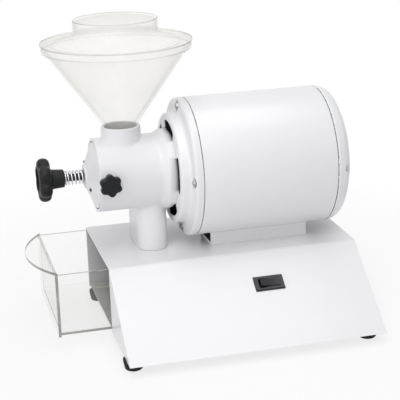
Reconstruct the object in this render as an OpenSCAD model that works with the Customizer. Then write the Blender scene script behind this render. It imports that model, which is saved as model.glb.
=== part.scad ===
// Electric coffee mill: a direct-drive burr mill on a folded sheet base.
// Millimetres. +X runs from the adjusting knob to the motor, +Y to the back, +Z up.
// The modules work in the machine's own frame: X from the base's left end, Y from the
// front edge of its top, Z from the table. at_origin() then puts the middle of the
// machine's box, at table level, on the origin.

/* [Base] */
// Length of the sheet base
base_l = 280; // [260:1:320]
// Height of the sheet base without its feet
base_h = 74; // [66:1:90]
// Depth of the flat top
top_d = 147; // [138:1:170]
// Run of the sloping front from the top's edge to the lower edge
front_run = 98; // [80:1:120]
// Thickness of the folded sheet
sheet_t = 1.5; // [1:0.1:2]
// Outside radius of the bend between the top and the front
bend_r = 8; // [5:0.5:12]
// Width of the flanges turned in along the lower edges
flange_w = 14; // [12:1:18]
// Thickness of the bottom plate
plate_t = 1.5; // [1:0.1:2.5]
// Height of the rubber feet
foot_h = 12; // [8:0.5:16]
// Radius of a foot where it meets the plate
foot_r = 11; // [9:0.5:13]
// Distance of the left feet's centres from the base's left end
foot_left = 8.5; // [8:0.5:20]
// Distance of the right feet's centres from the base's right end
foot_right = 13; // [12:0.5:24]
// Distance of the front feet's centres from the lower front edge
foot_front = 25; // [20:1:40]

/* [Drawer] */
// Length of the drawer's floor
drawer_l = 150; // [130:1:170]
// How far the drawer stands out of its bay at rest
drawer_out = 55; // [20:1:80]
// Thickness of the clear sheet that the drawer is glued from
clear_t = 3; // [2:0.5:4]
// Reach of the curved handle beyond the drawer's floor
handle_sag = 25; // [16:1:30]

/* [Motor] */
// Distance of the motor axis behind the top's front edge
axis_y = 60.5; // [56:0.5:70]
// Height of the motor axis above the base's top
axis_h = 87.5; // [86:0.5:96]
// Outside radius of the motor shell
motor_r = 77; // [74:0.5:79]
// Wall of the motor shell
shell_t = 2.5; // [1.5:0.1:3.5]
// Distance of the shell's front seam from the base's left end
shell_x = 105; // [103:0.5:108]
// Length of the motor shell
shell_l = 151; // [146:1:156]
// Depth of the rear dome
dome_d = 25; // [24:0.5:32]
// Radius of the dome's shoulder
dome_round = 16; // [10:0.5:18]
// Radius of the circle of tie rods
rod_circle_r = 69.5; // [68.5:0.25:70]
// Radius of a tie rod
rod_r = 2; // [1.5:0.25:3]
// Radius of the motor shaft in its bearings
shaft_r = 8.5; // [7.5:0.25:9]
// Number of cooling windows in the front shield
window_count = 5; // [3:1:6]
// Angle that one window spans
window_span = 48; // [24:1:50]

/* [Grinder] */
// Outside radius of the grinder tube
tube_r = 39; // [38:0.5:41]
// Radius of the tube's bore around the burr carrier
bore_r = 34; // [33:0.5:34.5]
// Radius of the bore that takes the front cover
mouth_r = 36.8; // [36.2:0.1:37.4]
// Radius of the bell where the tube meets the motor
bell_r = 44.5; // [43.5:0.5:46]
// Distance of the neck's axis from the tube's mouth
neck_x = 32; // [32:0.5:34]
// Outside radius at the neck's rim
neck_r = 21.5; // [21:0.25:24]
// Radius of the neck's bore
neck_bore_r = 18; // [16:0.25:18]
// Height of the neck's rim above the axis
neck_h = 53.5; // [50:0.5:60]
// Distance of the chute's middle from the tube's mouth
chute_x = 60.5; // [59:0.5:61]
// Width of the chute
chute_w = 34; // [30:0.5:34]
// Distance of the chute's round front from the top's front edge
chute_front = 38.5; // [34:0.5:44]
// Wall of the chute
chute_wall = 3; // [2:0.25:4]
// Reach of the front cover's cone out of the mouth
cover_reach = 10.5; // [8:0.5:14]
// Outside radius of the burrs
burr_r = 30; // [28:0.5:31]
// Radius of the feed channel
feed_r = 15; // [13:0.5:15.5]
// Gap between the burrs at rest
burr_gap = 0.7; // [0.4:0.1:1.5]
// Number of teeth on each burr
tooth_count = 24; // [12:2:32]
// Pitch of the feed screw
feed_pitch = 14; // [10:1:20]

/* [Hopper] */
// Outside radius of the cone at the rim's step
cone_r = 72.8; // [64:0.5:76]
// Height of that step above the neck's rim
cone_h = 78; // [66:1:90]
// Outside radius of the hopper's rim
rim_r = 80.5; // [78:0.5:86]
// Height of the rim's band
rim_band = 6.5; // [5:0.5:10]
// Wall of the hopper and its lid
hopper_t = 2; // [1.5:0.25:3]
// Radius of the lid's raised cap
cap_r = 45.5; // [36:0.5:52]
// Height of the raised cap's wall
cap_h = 15; // [10:0.5:20]
// Rise of the lid from its edge to the cap
lid_rise = 10; // [5:0.5:14]

/* [Controls] */
// Radius over the lobes of the adjusting knob
knob_r = 24; // [20:0.5:28]
// Number of lobes on the adjusting knob
knob_lobes = 6; // [5:1:8]
// Thickness of the adjusting knob's head
knob_head = 18.5; // [12:0.5:24]
// Rounding of the adjusting knob's rim
knob_round = 8; // [4:0.5:9]
// Length of the adjusting knob's hub
knob_hub = 12.5; // [8:0.5:18]
// Radius of the adjusting screw
screw_r = 4; // [3.5:0.25:5]
// Length of the spring between cover and knob
spring_l = 22; // [20:0.5:30]
// Turns of the spring
spring_turns = 6; // [4:1:7]
// Radius of the spring at the middle of its wire
spring_r = 6.8; // [6:0.1:8.5]
// Diameter of the spring's wire
wire_d = 1.6; // [1:0.1:2]
// Radius over the lobes of the clamp knob
star_r = 12.5; // [10:0.5:15]
// Distance of the clamp knob from the tube's mouth
star_x = 9.9; // [9:0.1:10]
// Distance of the switch from the base's left end
switch_x = 168.5; // [165:0.5:200]
// Distance of the switch down the slope from the top's edge
switch_s = 43; // [30:0.5:60]
// Length of the switch's bezel
bezel_l = 33; // [32:0.5:36]
// Width of the switch's bezel
bezel_w = 18; // [17:0.5:20]
// Tilt of the rocker to either side
rock_a = 7; // [5:0.5:9]

/* [Clearances] */
// Gap between pieces that slide on each other
slide_gap = 0.3; // [0.2:0.05:0.5]
// Radial gap of a turning or sliding fit
run_gap = 0.06; // [0.03:0.01:0.1]
// Gap of a part that drops into its place
seat_gap = 0.4; // [0.3:0.05:0.6]
// Gap between the drawer's sides and its bay
drawer_gap = 1.5; // [1:0.1:2.5]

/* [Hidden] */
$fn = 72;
eps = 0.05;

paint = "whitesmoke";
black = "#24282c";
steel = "silver";
clear = "#e6eae6";

// Levels and places that follow from the sizes above
top_z = foot_h + base_h;
axis_z = top_z + axis_h;
slope_a = atan2(base_h, front_run);
flange_z = foot_h + plate_t;
floor_z = flange_z + sheet_t + slide_gap;
drawer_top = top_z - sheet_t - 0.5;
front_top = drawer_top + 2.3;
drawer_w = top_d - sheet_t - 2 * drawer_gap;
drawer_y = drawer_gap;
drawer_x = -drawer_out;
bay_l = drawer_l + 4;
foot_back = 15;
shell_end = shell_x + shell_l;
shell_in = motor_r - shell_t;

// Along the axis from the tube's mouth
bell_x = shell_x - 19;
back_wall_x = bell_x - 12;
carrier_x = 15;
carrier_l = 35;
carrier_end = carrier_x + carrier_l;
burr_t = 7;
burr_face = carrier_end + burr_t;
turning_face = burr_face + burr_gap;
cover_face = -cover_reach - 1;
hub_face = cover_face - spring_l;
head_face = hub_face - knob_hub;
knob_end = head_face - knob_head;
bearing_r = 20;
bearing_w = 12;
front_bearing_x = bell_x + 4;
rear_bearing_x = shell_end + 2;

// Up the hopper
rim_z = axis_z + neck_h;
step_z = rim_z + cone_h;
band_z = step_z + 7;
lid_z = band_z + rim_band;

// The box of the whole machine
handle_tip = drawer_x - handle_sag;
dome_end = shell_end + dome_d;
gland_out = 4;
origin_x = (min(handle_tip, knob_end) + max(base_l, dome_end)) / 2;
origin_y = (max(top_d + gland_out, axis_y + rim_r + 1) - front_run) / 2;

module at_origin() translate([-origin_x, -origin_y, 0]) children();

// Turns a piece drawn about Z, so that its Z runs along the motor axis from the mouth
module about_axis() at_origin() translate([0, axis_y, axis_z]) rotate([0, 90, 0]) children();

// A ring or disc about the axis, from x0 over a length
module disc(x0, length, r) translate([0, 0, x0]) cylinder(h = length, r = r);

module ring(x0, length, r_out, r_in) difference() {
    disc(x0, length, r_out);
    disc(x0 - 1, length + 2, r_in);
}

// Copies a piece to evenly spaced angles about Z, starting at one of them
module around(count, start = 0) for (i = [0 : count - 1]) rotate(start + i * 360 / count) children();

// Extrudes an outline of Y and Z along X
module along_x(x0, length) translate([x0, 0, 0]) rotate([90, 0, 90]) linear_extrude(length) children();

// Y of the sloping front at a height, moved inwards by an inset
function slope_y(z, inset) = -(top_z - z) / tan(slope_a) + inset / sin(slope_a);

// Side outline of the base, moved inwards by an inset and cut off at a height
module base_outline(inset, low) {
    bend = [slope_y(top_z - bend_r, bend_r), top_z - bend_r];
    r = bend_r - inset;
    corner = [slope_y(top_z - inset, inset), top_z - inset];
    difference() {
        polygon([[slope_y(low, inset), low], [top_d - inset, low], [top_d - inset, top_z - inset], corner]);
        polygon([bend, bend + [0, r], corner, bend + r * [-sin(slope_a), cos(slope_a)]]);
    }
    translate(bend) circle(r);
}

// Places a piece on the sloping front: its Z points out of the sheet and its Y up the slope
module on_slope(x, s) at_origin()
    translate([x, -s * cos(slope_a), top_z - s * sin(slope_a)]) rotate([slope_a, 0, 0]) children();

module slab(low, high) translate(low) cube(high - low);

module centred_box(size) translate([-size.x / 2, -size.y / 2, 0]) cube(size);

// Outline of the chute: round in front, square at the back
module chute_outline(inset) {
    r = chute_w / 2 - inset;
    front = chute_front + chute_w / 2;
    translate([chute_x, front]) circle(r);
    translate([chute_x - r, front]) square([2 * r, axis_y + tube_r - inset - front]);
}

// Outline of a knob with round lobes and hollows between them
module lobes(count, r, lobe_r) {
    circle(r - lobe_r);
    difference() {
        union() {
            circle(r - lobe_r * 0.55);
            around(count) translate([r - lobe_r, 0]) circle(lobe_r);
        }
        around(count, 180 / count) translate([r + lobe_r * 0.15, 0]) circle(lobe_r * 0.75);
    }
}

// Base and drawer bay

foot_places = [
    for (x = [foot_left, base_l - foot_right]) for (y = [foot_front - front_run, top_d - foot_back]) [x, y]
];
base_screw_r = 1.9;
base_screw_places = [
    for (x = [base_l * 0.2, base_l * 0.5, base_l * 0.8]) [x, slope_y(flange_z, sheet_t) + flange_w / 2],
    for (x = [bay_l + 16, base_l - 36]) [x, top_d - sheet_t - flange_w / 2]
];
cradle_l = 112;
cradle_x = shell_x + 18.5;
cradle_w = 48;
cradle_t = 2;
cradle_bolt_r = 2.5;
cradle_bolt_places = [
    for (x = [cradle_x + 12, cradle_x + cradle_l - 12]) for (y = [axis_y - 14, axis_y + 14]) [x, y]
];
gland_place = [base_l - 42, foot_h + 28];
gland_r = 8;
runner_w = 10;
case_l = bezel_l - 5.4;
case_w = bezel_w - 5;

module base_shell() color(paint) {
    difference() {
        at_origin() difference() {
            union() {
                difference() {
                    along_x(0, base_l) base_outline(0, foot_h);
                    along_x(sheet_t, base_l - 2 * sheet_t) base_outline(sheet_t, foot_h - 1);
                }
                base_flanges();
            }
            slab([-1, 0, foot_h - 1], [sheet_t + 1, top_d - sheet_t, top_z - sheet_t]);
            slab([-1, top_d - sheet_t, foot_h - 1], [base_l + 1, top_d + 1, top_z - sheet_t]);
            translate([0, 0, top_z - sheet_t - 1]) linear_extrude(sheet_t + 2) chute_outline(chute_wall);
            for (p = cradle_bolt_places)
                translate([p.x, p.y, top_z - sheet_t - 1]) cylinder(h = sheet_t + 2, r = cradle_bolt_r + 0.2);
            flange_holes();
        }
        on_slope(switch_x, switch_s) translate([0, 0, -sheet_t - 1])
            centred_box([case_l + 0.4, case_w + 0.4, sheet_t + 2]);
    }
}

// Flanges along the front and the right end
module base_flanges() {
    front = slope_y(flange_z + sheet_t, sheet_t / 2);
    x0 = sheet_t / 2;
    x1 = base_l - sheet_t / 2;
    z1 = flange_z + sheet_t;
    slab([x0, front, flange_z], [x1, front + flange_w, z1]);
    slab([x1 - flange_w, front, flange_z], [x1, top_d - sheet_t, z1]);
}

module flange_holes() for (p = base_screw_places)
    translate([p.x, p.y, flange_z - 1]) cylinder(h = sheet_t + 2, r = base_screw_r + 0.1);

// Sheet welded in under the top's back edge, with a flange beside the drawer bay
module back_panel() color(paint) at_origin() difference() {
    y0 = top_d - sheet_t;
    union() {
        slab([0, y0, foot_h], [base_l, top_d, top_z - sheet_t]);
        slab([bay_l + 2, top_d - flange_w, flange_z], [base_l - sheet_t - flange_w, y0 + eps, flange_z + sheet_t]);
    }
    flange_holes();
    translate([gland_place.x, top_d + 1, gland_place.y]) rotate([90, 0, 0]) cylinder(h = sheet_t + 2, r = gland_r + 0.1);
}

module base_plate() color("gainsboro") at_origin() difference() {
    gap = sheet_t + 0.2;
    slab([gap, slope_y(flange_z, gap), foot_h], [base_l - gap, top_d - gap, flange_z]);
    for (p = foot_places) translate([p.x, p.y, foot_h - 1]) cylinder(h = plate_t + 2, r = 2.2);
    for (p = base_screw_places)
        translate([p.x, p.y, foot_h - 1]) cylinder(h = plate_t + 2, r = base_screw_r + 0.1);
}

// Folded sheet that closes the drawer bay towards the switch and the capacitor
module bay_partition() color("gainsboro") at_origin() {
    t = 1.2;
    tab = 9;
    wall_top = top_z - (t + 0.4 + sheet_t / sin(slope_a)) * tan(slope_a);
    slab([sheet_t + 0.2, -t, flange_z], [bay_l + t, 0, wall_top]);
    slab([sheet_t + 0.2, -tab, flange_z], [bay_l + t, 0, flange_z + t]);
    slab([bay_l, -t, flange_z], [bay_l + t, top_d - sheet_t - 0.2, wall_top]);
    slab([bay_l, -t, flange_z], [bay_l + tab, top_d - sheet_t - flange_w - 1, flange_z + t]);
}

module drawer_runners() color("ivory") at_origin() for (y = [drawer_y + 1, drawer_y + drawer_w - runner_w - 1])
    slab([sheet_t + 3, y, flange_z], [bay_l - 3, y + runner_w, flange_z + sheet_t]);

module feet() color(black) at_origin() for (p = foot_places) translate([p.x, p.y, 0])
    rotate_extrude() polygon([
        [2.2, 5], [5, 5], [5, 0], [foot_r - 3, 0], [foot_r - 1.6, 1.2], [foot_r, foot_h - 2.5],
        [foot_r, foot_h], [2.2, foot_h]
    ]);

module foot_screws() color(steel) at_origin() for (p = foot_places) translate([p.x, p.y, 0]) {
    translate([0, 0, 2.4]) cylinder(h = 2.6, r = 4.2);
    translate([0, 0, 3]) cylinder(h = flange_z - 3.2, r = 2);
}

module base_screws() color(steel) at_origin() for (p = base_screw_places) translate([p.x, p.y, foot_h]) {
    translate([0, 0, -1.8]) cylinder(h = 1.8, r = 3.6);
    translate([0, 0, -1]) cylinder(h = 1 + plate_t + sheet_t, r = base_screw_r);
}

// Bush in the back panel where a supply cord would come in
module cord_gland() color(black) at_origin() translate([gland_place.x, top_d, gland_place.y])
    rotate([-90, 0, 0]) difference() {
        union() {
            rotate_extrude() polygon([
                [0, 0], [gland_r + 3.5, 0], [gland_r + 3.5, gland_out - 1.5], [gland_r + 2, gland_out], [0, gland_out]
            ]);
            translate([0, 0, -sheet_t - 10]) cylinder(h = sheet_t + 10.5, r = gland_r);
            translate([0, 0, -sheet_t - 5]) cylinder(h = 5, r = gland_r + 4, $fn = 6);
        }
        translate([0, 0, -sheet_t - 11]) cylinder(h = sheet_t + gland_out + 12, r = 4.2);
    }

// Switch

rocker_l = bezel_l - 11;
rocker_w = bezel_w - 8.4;
well_l = rocker_l + 1.8;
well_w = rocker_w + 2 * slide_gap;
pivot_r = 1.2;
pivot_z = -1;

module switch_body() color(black) on_slope(switch_x, switch_s) difference() {
    union() {
        centred_box([bezel_l, bezel_w, 1.2]);
        translate([0, 0, 1]) centred_box([bezel_l - 1.6, bezel_w - 1.6, 1]);
        translate([0, 0, -16]) centred_box([case_l, case_w, 16.5]);
        for (x = [-7, 0, 7]) translate([x, 0, -24]) centred_box([0.8, 4.8, 9]);
    }
    translate([0, 0, -9]) centred_box([well_l, well_w, 20]);
    translate([0, case_w / 2 - 0.2, pivot_z]) rotate([90, 0, 0]) cylinder(h = case_w - 0.4, r = pivot_r + run_gap);
}

module switch_rocker() color(black) on_slope(switch_x, switch_s) translate([0, 0, pivot_z]) rotate([0, rock_a, 0]) {
    half = rocker_l / 2;
    translate([0, rocker_w / 2, 0]) rotate([90, 0, 0]) linear_extrude(rocker_w)
        polygon([[-half, 1], [-half, 5.2], [0, 4], [half, 5.2], [half, 1], [3.5, -5], [-3.5, -5]]);
    translate([0, rocker_w / 2 + 0.9, 0]) rotate([90, 0, 0]) cylinder(h = rocker_w + 1.8, r = pivot_r);
}

// Running capacitor on the bottom plate

capacitor_r = 18;
capacitor_l = 70;
clamp_t = 1.2;
capacitor_place = [bay_l + 26, 92, flange_z + clamp_t + capacitor_r];

module capacitor() color("lightgray") at_origin() translate(capacitor_place) rotate([0, 90, 0]) {
    rotate_extrude() polygon([
        [0, 0], [capacitor_r - 1, 0], [capacitor_r, 1], [capacitor_r, capacitor_l - 3],
        [capacitor_r - 3, capacitor_l], [0, capacitor_l]
    ]);
    for (y = [-6, 6]) translate([-0.4, y - 3, capacitor_l - 0.5]) cube([0.8, 6, 9]);
}

module capacitor_clamp() color(steel) at_origin() translate(capacitor_place) {
    w = 16;
    reach = capacitor_r + 12;
    low = -capacitor_r - clamp_t;
    translate([capacitor_l / 2 - w / 2, 0, 0]) {
        difference() {
            rotate([0, 90, 0]) cylinder(h = w, r = capacitor_r + clamp_t);
            translate([-1, 0, 0]) rotate([0, 90, 0]) cylinder(h = w + 2, r = capacitor_r + eps);
        }
        slab([0, -reach, low], [w, -capacitor_r * 0.2, low + clamp_t - eps]);
        slab([0, capacitor_r * 0.2, low], [w, reach, low + clamp_t - eps]);
    }
}

// Motor

rod_angles = [0, 90, 180, 270];
spot_front = shell_x - 7;
spot_rear = shell_end + 11;
nut_r = 2 * rod_r + 0.05;
spot_r = nut_r + 1.2;
nut_t = 1.6 * rod_r;
window_r_out = bell_r + 9;
window_turn = 190;
hub_r = bell_r + 16.5;
socket_r = bell_r + seat_gap;

module motor_cradle() color(paint) difference() {
    at_origin() difference() {
        y0 = axis_y - cradle_w / 2;
        x1 = cradle_x + cradle_l;
        slab([cradle_x, y0, top_z], [x1, y0 + cradle_w, axis_z - motor_r + 12]);
        slab([cradle_x - 1, y0 + cradle_t, top_z + cradle_t], [x1 + 1, y0 + cradle_w - cradle_t, axis_z]);
        for (p = cradle_bolt_places)
            translate([p.x, p.y, top_z - 1]) cylinder(h = cradle_t + 2, r = cradle_bolt_r + 0.2);
    }
    about_axis() disc(cradle_x - 1, cradle_l + 2, motor_r + eps);
}

module cradle_bolts() color(steel) at_origin() for (p = cradle_bolt_places) translate([p.x, p.y, top_z]) {
    translate([0, 0, cradle_t]) cylinder(h = 3.5, r = 4.6, $fn = 6);
    translate([0, 0, -sheet_t - 5]) cylinder(h = sheet_t + 5 + cradle_t + 1, r = cradle_bolt_r);
    translate([0, 0, -sheet_t - 4]) cylinder(h = 4, r = 4.6, $fn = 6);
}

module motor_shell() color(paint) about_axis() ring(shell_x, shell_l, motor_r, shell_in);

// Cutter for one cooling window between the bell and the hub ring
module window() rotate(-window_span / 2) rotate_extrude(angle = window_span)
    polygon([[socket_r - 1, 0], [window_r_out, 0], [window_r_out, 12], [socket_r - 1, 12]]);

module front_end_shield() color(paint) about_axis() difference() {
    rotate_extrude() polygon([
        [motor_r, shell_x], [motor_r, shell_x - 5], [motor_r - 0.8, shell_x - 7], [motor_r - 2.5, shell_x - 8.2],
        [hub_r + 4, shell_x - 9.5], [hub_r + 1.5, shell_x - 10.5], [hub_r + 0.5, shell_x - 12.5],
        [hub_r, shell_x - 17], [hub_r - 1, bell_x - 1], [hub_r - 4, bell_x - 2.5], [socket_r, bell_x - 2.5],
        [socket_r, bell_x], [12, bell_x], [12, front_bearing_x], [bearing_r + eps, front_bearing_x],
        [bearing_r + eps, front_bearing_x + bearing_w + 1], [bearing_r + 5, front_bearing_x + bearing_w + 1],
        [bearing_r + 5, bell_x + 7], [socket_r + 3, bell_x + 7], [socket_r + 3, bell_x + 1.5],
        [hub_r - 4, bell_x + 1.5], [hub_r - 4, bell_x + 9], [hub_r + 2, shell_x - 5],
        [shell_in - 4, shell_x - 3], [shell_in - 4, shell_x + 4], [shell_in - eps, shell_x + 4], [shell_in - eps, shell_x]
    ]);
    translate([0, 0, bell_x - 9]) around(window_count, window_turn) window();
    for (a = rod_angles) rotate(a) translate([rod_circle_r, 0, 0]) {
        disc(shell_x - 30, spot_front - shell_x + 30, spot_r);
        disc(spot_front - 1, 30, rod_r + 0.2);
    }
    around(4, 45) translate([body_bolt_circle, 0, bell_x - 1]) cylinder(h = 10, r = body_bolt_r + 0.2);
}

module rear_end_shield() color(paint) about_axis() difference() {
    r0 = motor_r - dome_round;
    x0 = shell_end + dome_d - dome_round - 6.5;
    union() {
        disc(shell_end, x0 - shell_end, motor_r);
        intersection() {
            disc(shell_end, dome_d, motor_r);
            rotate_extrude() {
                translate([r0, x0]) intersection() {
                    circle(dome_round);
                    square(dome_round);
                }
                polygon([[0, shell_end], [motor_r, shell_end], [motor_r, x0], [r0, x0], [r0, x0 + dome_round], [0, x0 + dome_round]]);
                polygon([[0, x0 + dome_round - 1], [r0, x0 + dome_round - 1], [r0, x0 + dome_round],
                    [r0 * 0.75, shell_end + dome_d - 3], [r0 * 0.4, shell_end + dome_d - 0.7], [0, shell_end + dome_d]]);
            }
        }
        ring(shell_end - 4, 5, shell_in - eps, shell_in - 4);
    }
    rotate_extrude() polygon([
        [bearing_r + 5, shell_end - 1], [shell_in - 4, shell_end - 1], [shell_in - 4, x0],
        [r0, x0 + dome_round - 4], [bearing_r + 5, x0 + dome_round - 4]
    ]);
    disc(shell_end - 1, rear_bearing_x + bearing_w - shell_end + 1, bearing_r + eps);
    disc(shell_end - 1, rear_bearing_x + bearing_w - shell_end + 3, shaft_r + 3);
    for (a = rod_angles) rotate(a) translate([rod_circle_r, 0, 0]) {
        disc(spot_rear, 30, spot_r);
        disc(shell_end - 5, 30, rod_r + 0.2);
    }
}

module tie_rods() color(steel) about_axis() for (a = rod_angles) rotate(a) translate([rod_circle_r, 0, 0])
    disc(spot_front - nut_t - 2.5, spot_rear - spot_front + 2 * nut_t + 5, rod_r);

module tie_nuts() color(steel) about_axis() for (a = rod_angles) rotate(a) translate([rod_circle_r, 0, 0])
    for (x = [spot_front - nut_t, spot_rear]) difference() {
        translate([0, 0, x]) cylinder(h = nut_t, r = nut_r, $fn = 6);
        disc(x - 1, nut_t + 2, rod_r + eps);
    }

stator_x = shell_x + 30;
stator_l = shell_l - 61;
air_gap = 0.5;
rotor_r = shell_in - 33;
slot_count = 24;
slot_step = 360 / slot_count;
coil_l = 20;
coil_in = rotor_r + 5.5;
coil_out = shell_in - 12.5;
coil_round = 4;

module stator_core() color("dimgray") about_axis() translate([0, 0, stator_x]) linear_extrude(stator_l) difference() {
    circle(shell_in - eps);
    circle(rotor_r + air_gap);
    for (a = rod_angles) rotate(a) translate([rod_circle_r, 0]) circle(rod_r + 0.7);
    around(slot_count, slot_step / 2) {
        translate([rotor_r + 6, -2.2]) square([14, 4.4]);
        translate([rotor_r - 1, -1]) square([8, 2]);
    }
}

module stator_windings() color("peru") about_axis() for (side = [0, 1]) {
    x = side == 0 ? stator_x - coil_l : stator_x + stator_l + eps;
    rotate_extrude() polygon([
        [coil_in + coil_round, x], [coil_out - coil_round, x], [coil_out, x + coil_round],
        [coil_out, x + coil_l - coil_round], [coil_out - coil_round, x + coil_l - eps],
        [coil_in + coil_round, x + coil_l - eps], [coil_in, x + coil_l - coil_round], [coil_in, x + coil_round]
    ]);
}

module front_bearing() color(steel) about_axis() ring(front_bearing_x, bearing_w, bearing_r, shaft_r + run_gap);

module rear_bearing() color(steel) about_axis() ring(rear_bearing_x, bearing_w, bearing_r, shaft_r + run_gap);

seal_r = 16;
seal_l = 7;
neck_shaft_r = shaft_r + 1.5;

module shaft_seal() color("saddlebrown") about_axis()
    ring(bell_x - seal_l, seal_l - eps, seal_r - eps, neck_shaft_r + run_gap);

// Turning parts on the motor shaft

burr_seat = turning_face + burr_t;
thread_r = 6;
feed_start = carrier_x + 11;
rotor_seat_r = 12;

module motor_shaft() color(steel) about_axis() rotate_extrude() polygon([
    [0, feed_start - 4.5], [thread_r, feed_start - 4.5], [thread_r, turning_face], [shaft_r, turning_face],
    [shaft_r, burr_seat], [neck_shaft_r, burr_seat], [neck_shaft_r, front_bearing_x - 0.2],
    [shaft_r, front_bearing_x - 0.2], [shaft_r, front_bearing_x + bearing_w + 1.5],
    [rotor_seat_r, front_bearing_x + bearing_w + 1.5], [rotor_seat_r, rear_bearing_x - 1],
    [shaft_r, rear_bearing_x - 1], [shaft_r, rear_bearing_x + bearing_w], [0, rear_bearing_x + bearing_w]
]);

module rotor_core() color("gray") about_axis() difference() {
    union() {
        disc(stator_x, stator_l, rotor_r);
        for (x = [stator_x - 7, stator_x + stator_l]) ring(x, 7, rotor_r - 3, rotor_r - 14);
    }
    disc(stator_x - 8, stator_l + 16, rotor_seat_r + eps);
}

fan_l = 14;
fan_x = stator_x - coil_l - 2;
fan_r = rotor_r - 5.5;

module cooling_fan() color("dimgray") about_axis() difference() {
    union() {
        disc(fan_x, fan_l, rotor_seat_r + 5);
        disc(fan_x + fan_l - 3, 2, fan_r);
        around(9) translate([rotor_seat_r, -0.8, fan_x + 1]) cube([fan_r - rotor_seat_r, 1.6, fan_l - 3]);
    }
    disc(fan_x - 1, fan_l + 2, rotor_seat_r + eps);
}

// Grinder housing

neck_base_r = neck_r + 1.3;
body_bolt_circle = 36;
body_bolt_r = 2.5;
skirt_end = neck_x - neck_bore_r - 0.2;
stud_r = 3;

module grinder_body() color(paint) difference() {
    union() {
        about_axis() rotate_extrude() polygon([
            [0, 0], [tube_r - 0.6, 0], [tube_r, 0.6], [tube_r, back_wall_x - 9], [tube_r + 1, back_wall_x - 5.5],
            [tube_r + 2.8, back_wall_x - 3], [bell_r - 0.8, back_wall_x], [bell_r, back_wall_x + 1.5],
            [bell_r, bell_x - eps], [0, bell_x - eps]
        ]);
        at_origin() {
            translate([neck_x, axis_y, axis_z]) cylinder(h = neck_h, r1 = neck_base_r + 1, r2 = neck_r);
            translate([0, 0, top_z]) linear_extrude(axis_h) chute_outline(0);
        }
    }
    about_axis() {
        disc(-1, skirt_end + 1, mouth_r);
        disc(-1, back_wall_x + 1, bore_r);
        disc(-1, bell_x + 2, neck_shaft_r + 1);
        disc(bell_x - seal_l, seal_l + 1, seal_r);
        around(4, 45) translate([body_bolt_circle, 0, bell_x - 9]) cylinder(h = 10, r = body_bolt_r + 0.1);
    }
    at_origin() {
        translate([neck_x, axis_y, axis_z]) cylinder(h = neck_h + 1, r = neck_bore_r);
        difference() {
            translate([0, 0, top_z - 1]) linear_extrude(axis_h) chute_outline(chute_wall);
            slab([back_wall_x, 0, 0], [bell_x + 10, top_d, axis_z + 10]);
        }
        translate([star_x, axis_y, axis_z]) rotate([90, 0, 0]) cylinder(h = tube_r + 5, r = stud_r + run_gap);
    }
}

module body_bolts() color(steel) about_axis() around(4, 45) translate([body_bolt_circle, 0, 0]) {
    disc(bell_x - 8, 16, body_bolt_r);
    translate([0, 0, bell_x + 7]) cylinder(h = 3.5, r = 4.4, $fn = 6);
}

// Front cover with the parts that set the grind

guide_angles = [125, 305];
guide_circle_r = 20;
guide_r = 1.7;
guide_head_r = 2.6;
guide_head_t = 1.4;
boss_r = 13;
collar_r = 8;
journal_r = screw_r - 1;
collar_x = carrier_x - slide_gap - 3;
wall_disc = 4;
cone_edge_r = mouth_r - 3;
cone_foot_r = boss_r + 1.5;
skirt_in = mouth_r - 2.6;

// Places a piece on each guide screw's axis, with its zero on the flat under the screw's head
guide_flat = -1 - (cover_reach - 2) * (cone_edge_r - guide_circle_r - guide_head_r) / (cone_edge_r - cone_foot_r);

module at_guides() for (a = guide_angles) rotate(a) translate([guide_circle_r, 0, guide_flat]) children();

module front_cover() color(paint) about_axis() difference() {
    rotate_extrude() polygon([
        [screw_r + run_gap, cover_face], [boss_r - 1, cover_face], [boss_r, cover_face + 1], [cone_foot_r, 1 - cover_reach],
        [cone_edge_r, -1], [mouth_r - slide_gap, 0], [mouth_r - slide_gap, skirt_end - 0.2],
        [skirt_in, skirt_end - 0.2], [skirt_in, 3], [cone_foot_r, 5 - cover_reach], [boss_r, 2],
        [screw_r + run_gap, 2]
    ]);
    at_guides() {
        translate([0, 0, -20]) cylinder(h = 20, r = guide_head_r + 0.2);
        cylinder(h = 20, r = guide_r + 0.1);
    }
}

// Screws whose long shanks keep the carrier from turning
module guide_screws() color(black) about_axis() at_guides() {
    disc(-guide_head_t - 2, guide_head_t + 2, guide_head_r);
    disc(-1, carrier_x + wall_disc - guide_flat + 1, guide_r);
}

module burr_carrier() color(steel) difference() {
    about_axis() difference() {
        disc(carrier_x, carrier_l, bore_r - slide_gap);
        disc(carrier_x + wall_disc, carrier_l, feed_r);
        disc(carrier_x - 1, wall_disc + 2, journal_r + run_gap);
        at_guides() cylinder(h = carrier_x + wall_disc + 5 - guide_flat, r = guide_r + slide_gap);
        around(3, 90) translate([burr_screw_circle, 0, carrier_end - 8]) cylinder(h = 9, r = burr_screw_r + 0.1);
    }
    at_origin() translate([neck_x, axis_y, axis_z])
        cylinder(h = bore_r + 1, r1 = feed_r - 1.5, r2 = neck_bore_r - 2.5);
}

burr_screw_circle = 21;
burr_screw_r = 2;
tooth_d = 1.6;
tooth_w = 2;
tooth_start = 25.5;

// One burr about Z with its back at zero: slots leave the teeth and the breakers on its face
module burr(hole_r, lean) {
    ring(0, burr_t - tooth_d, burr_r, hole_r);
    translate([0, 0, burr_t - tooth_d - 1]) linear_extrude(tooth_d + 1) difference() {
        circle(burr_r - 0.3);
        circle(hole_r + 0.3);
        around(tooth_count) rotate(lean) translate([tooth_start, -tooth_w / 2]) square([burr_r, tooth_w]);
        around(6, 7.5) rotate(lean) translate([0, -tooth_w]) square([tooth_start - 2, 2 * tooth_w]);
    }
}

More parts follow.
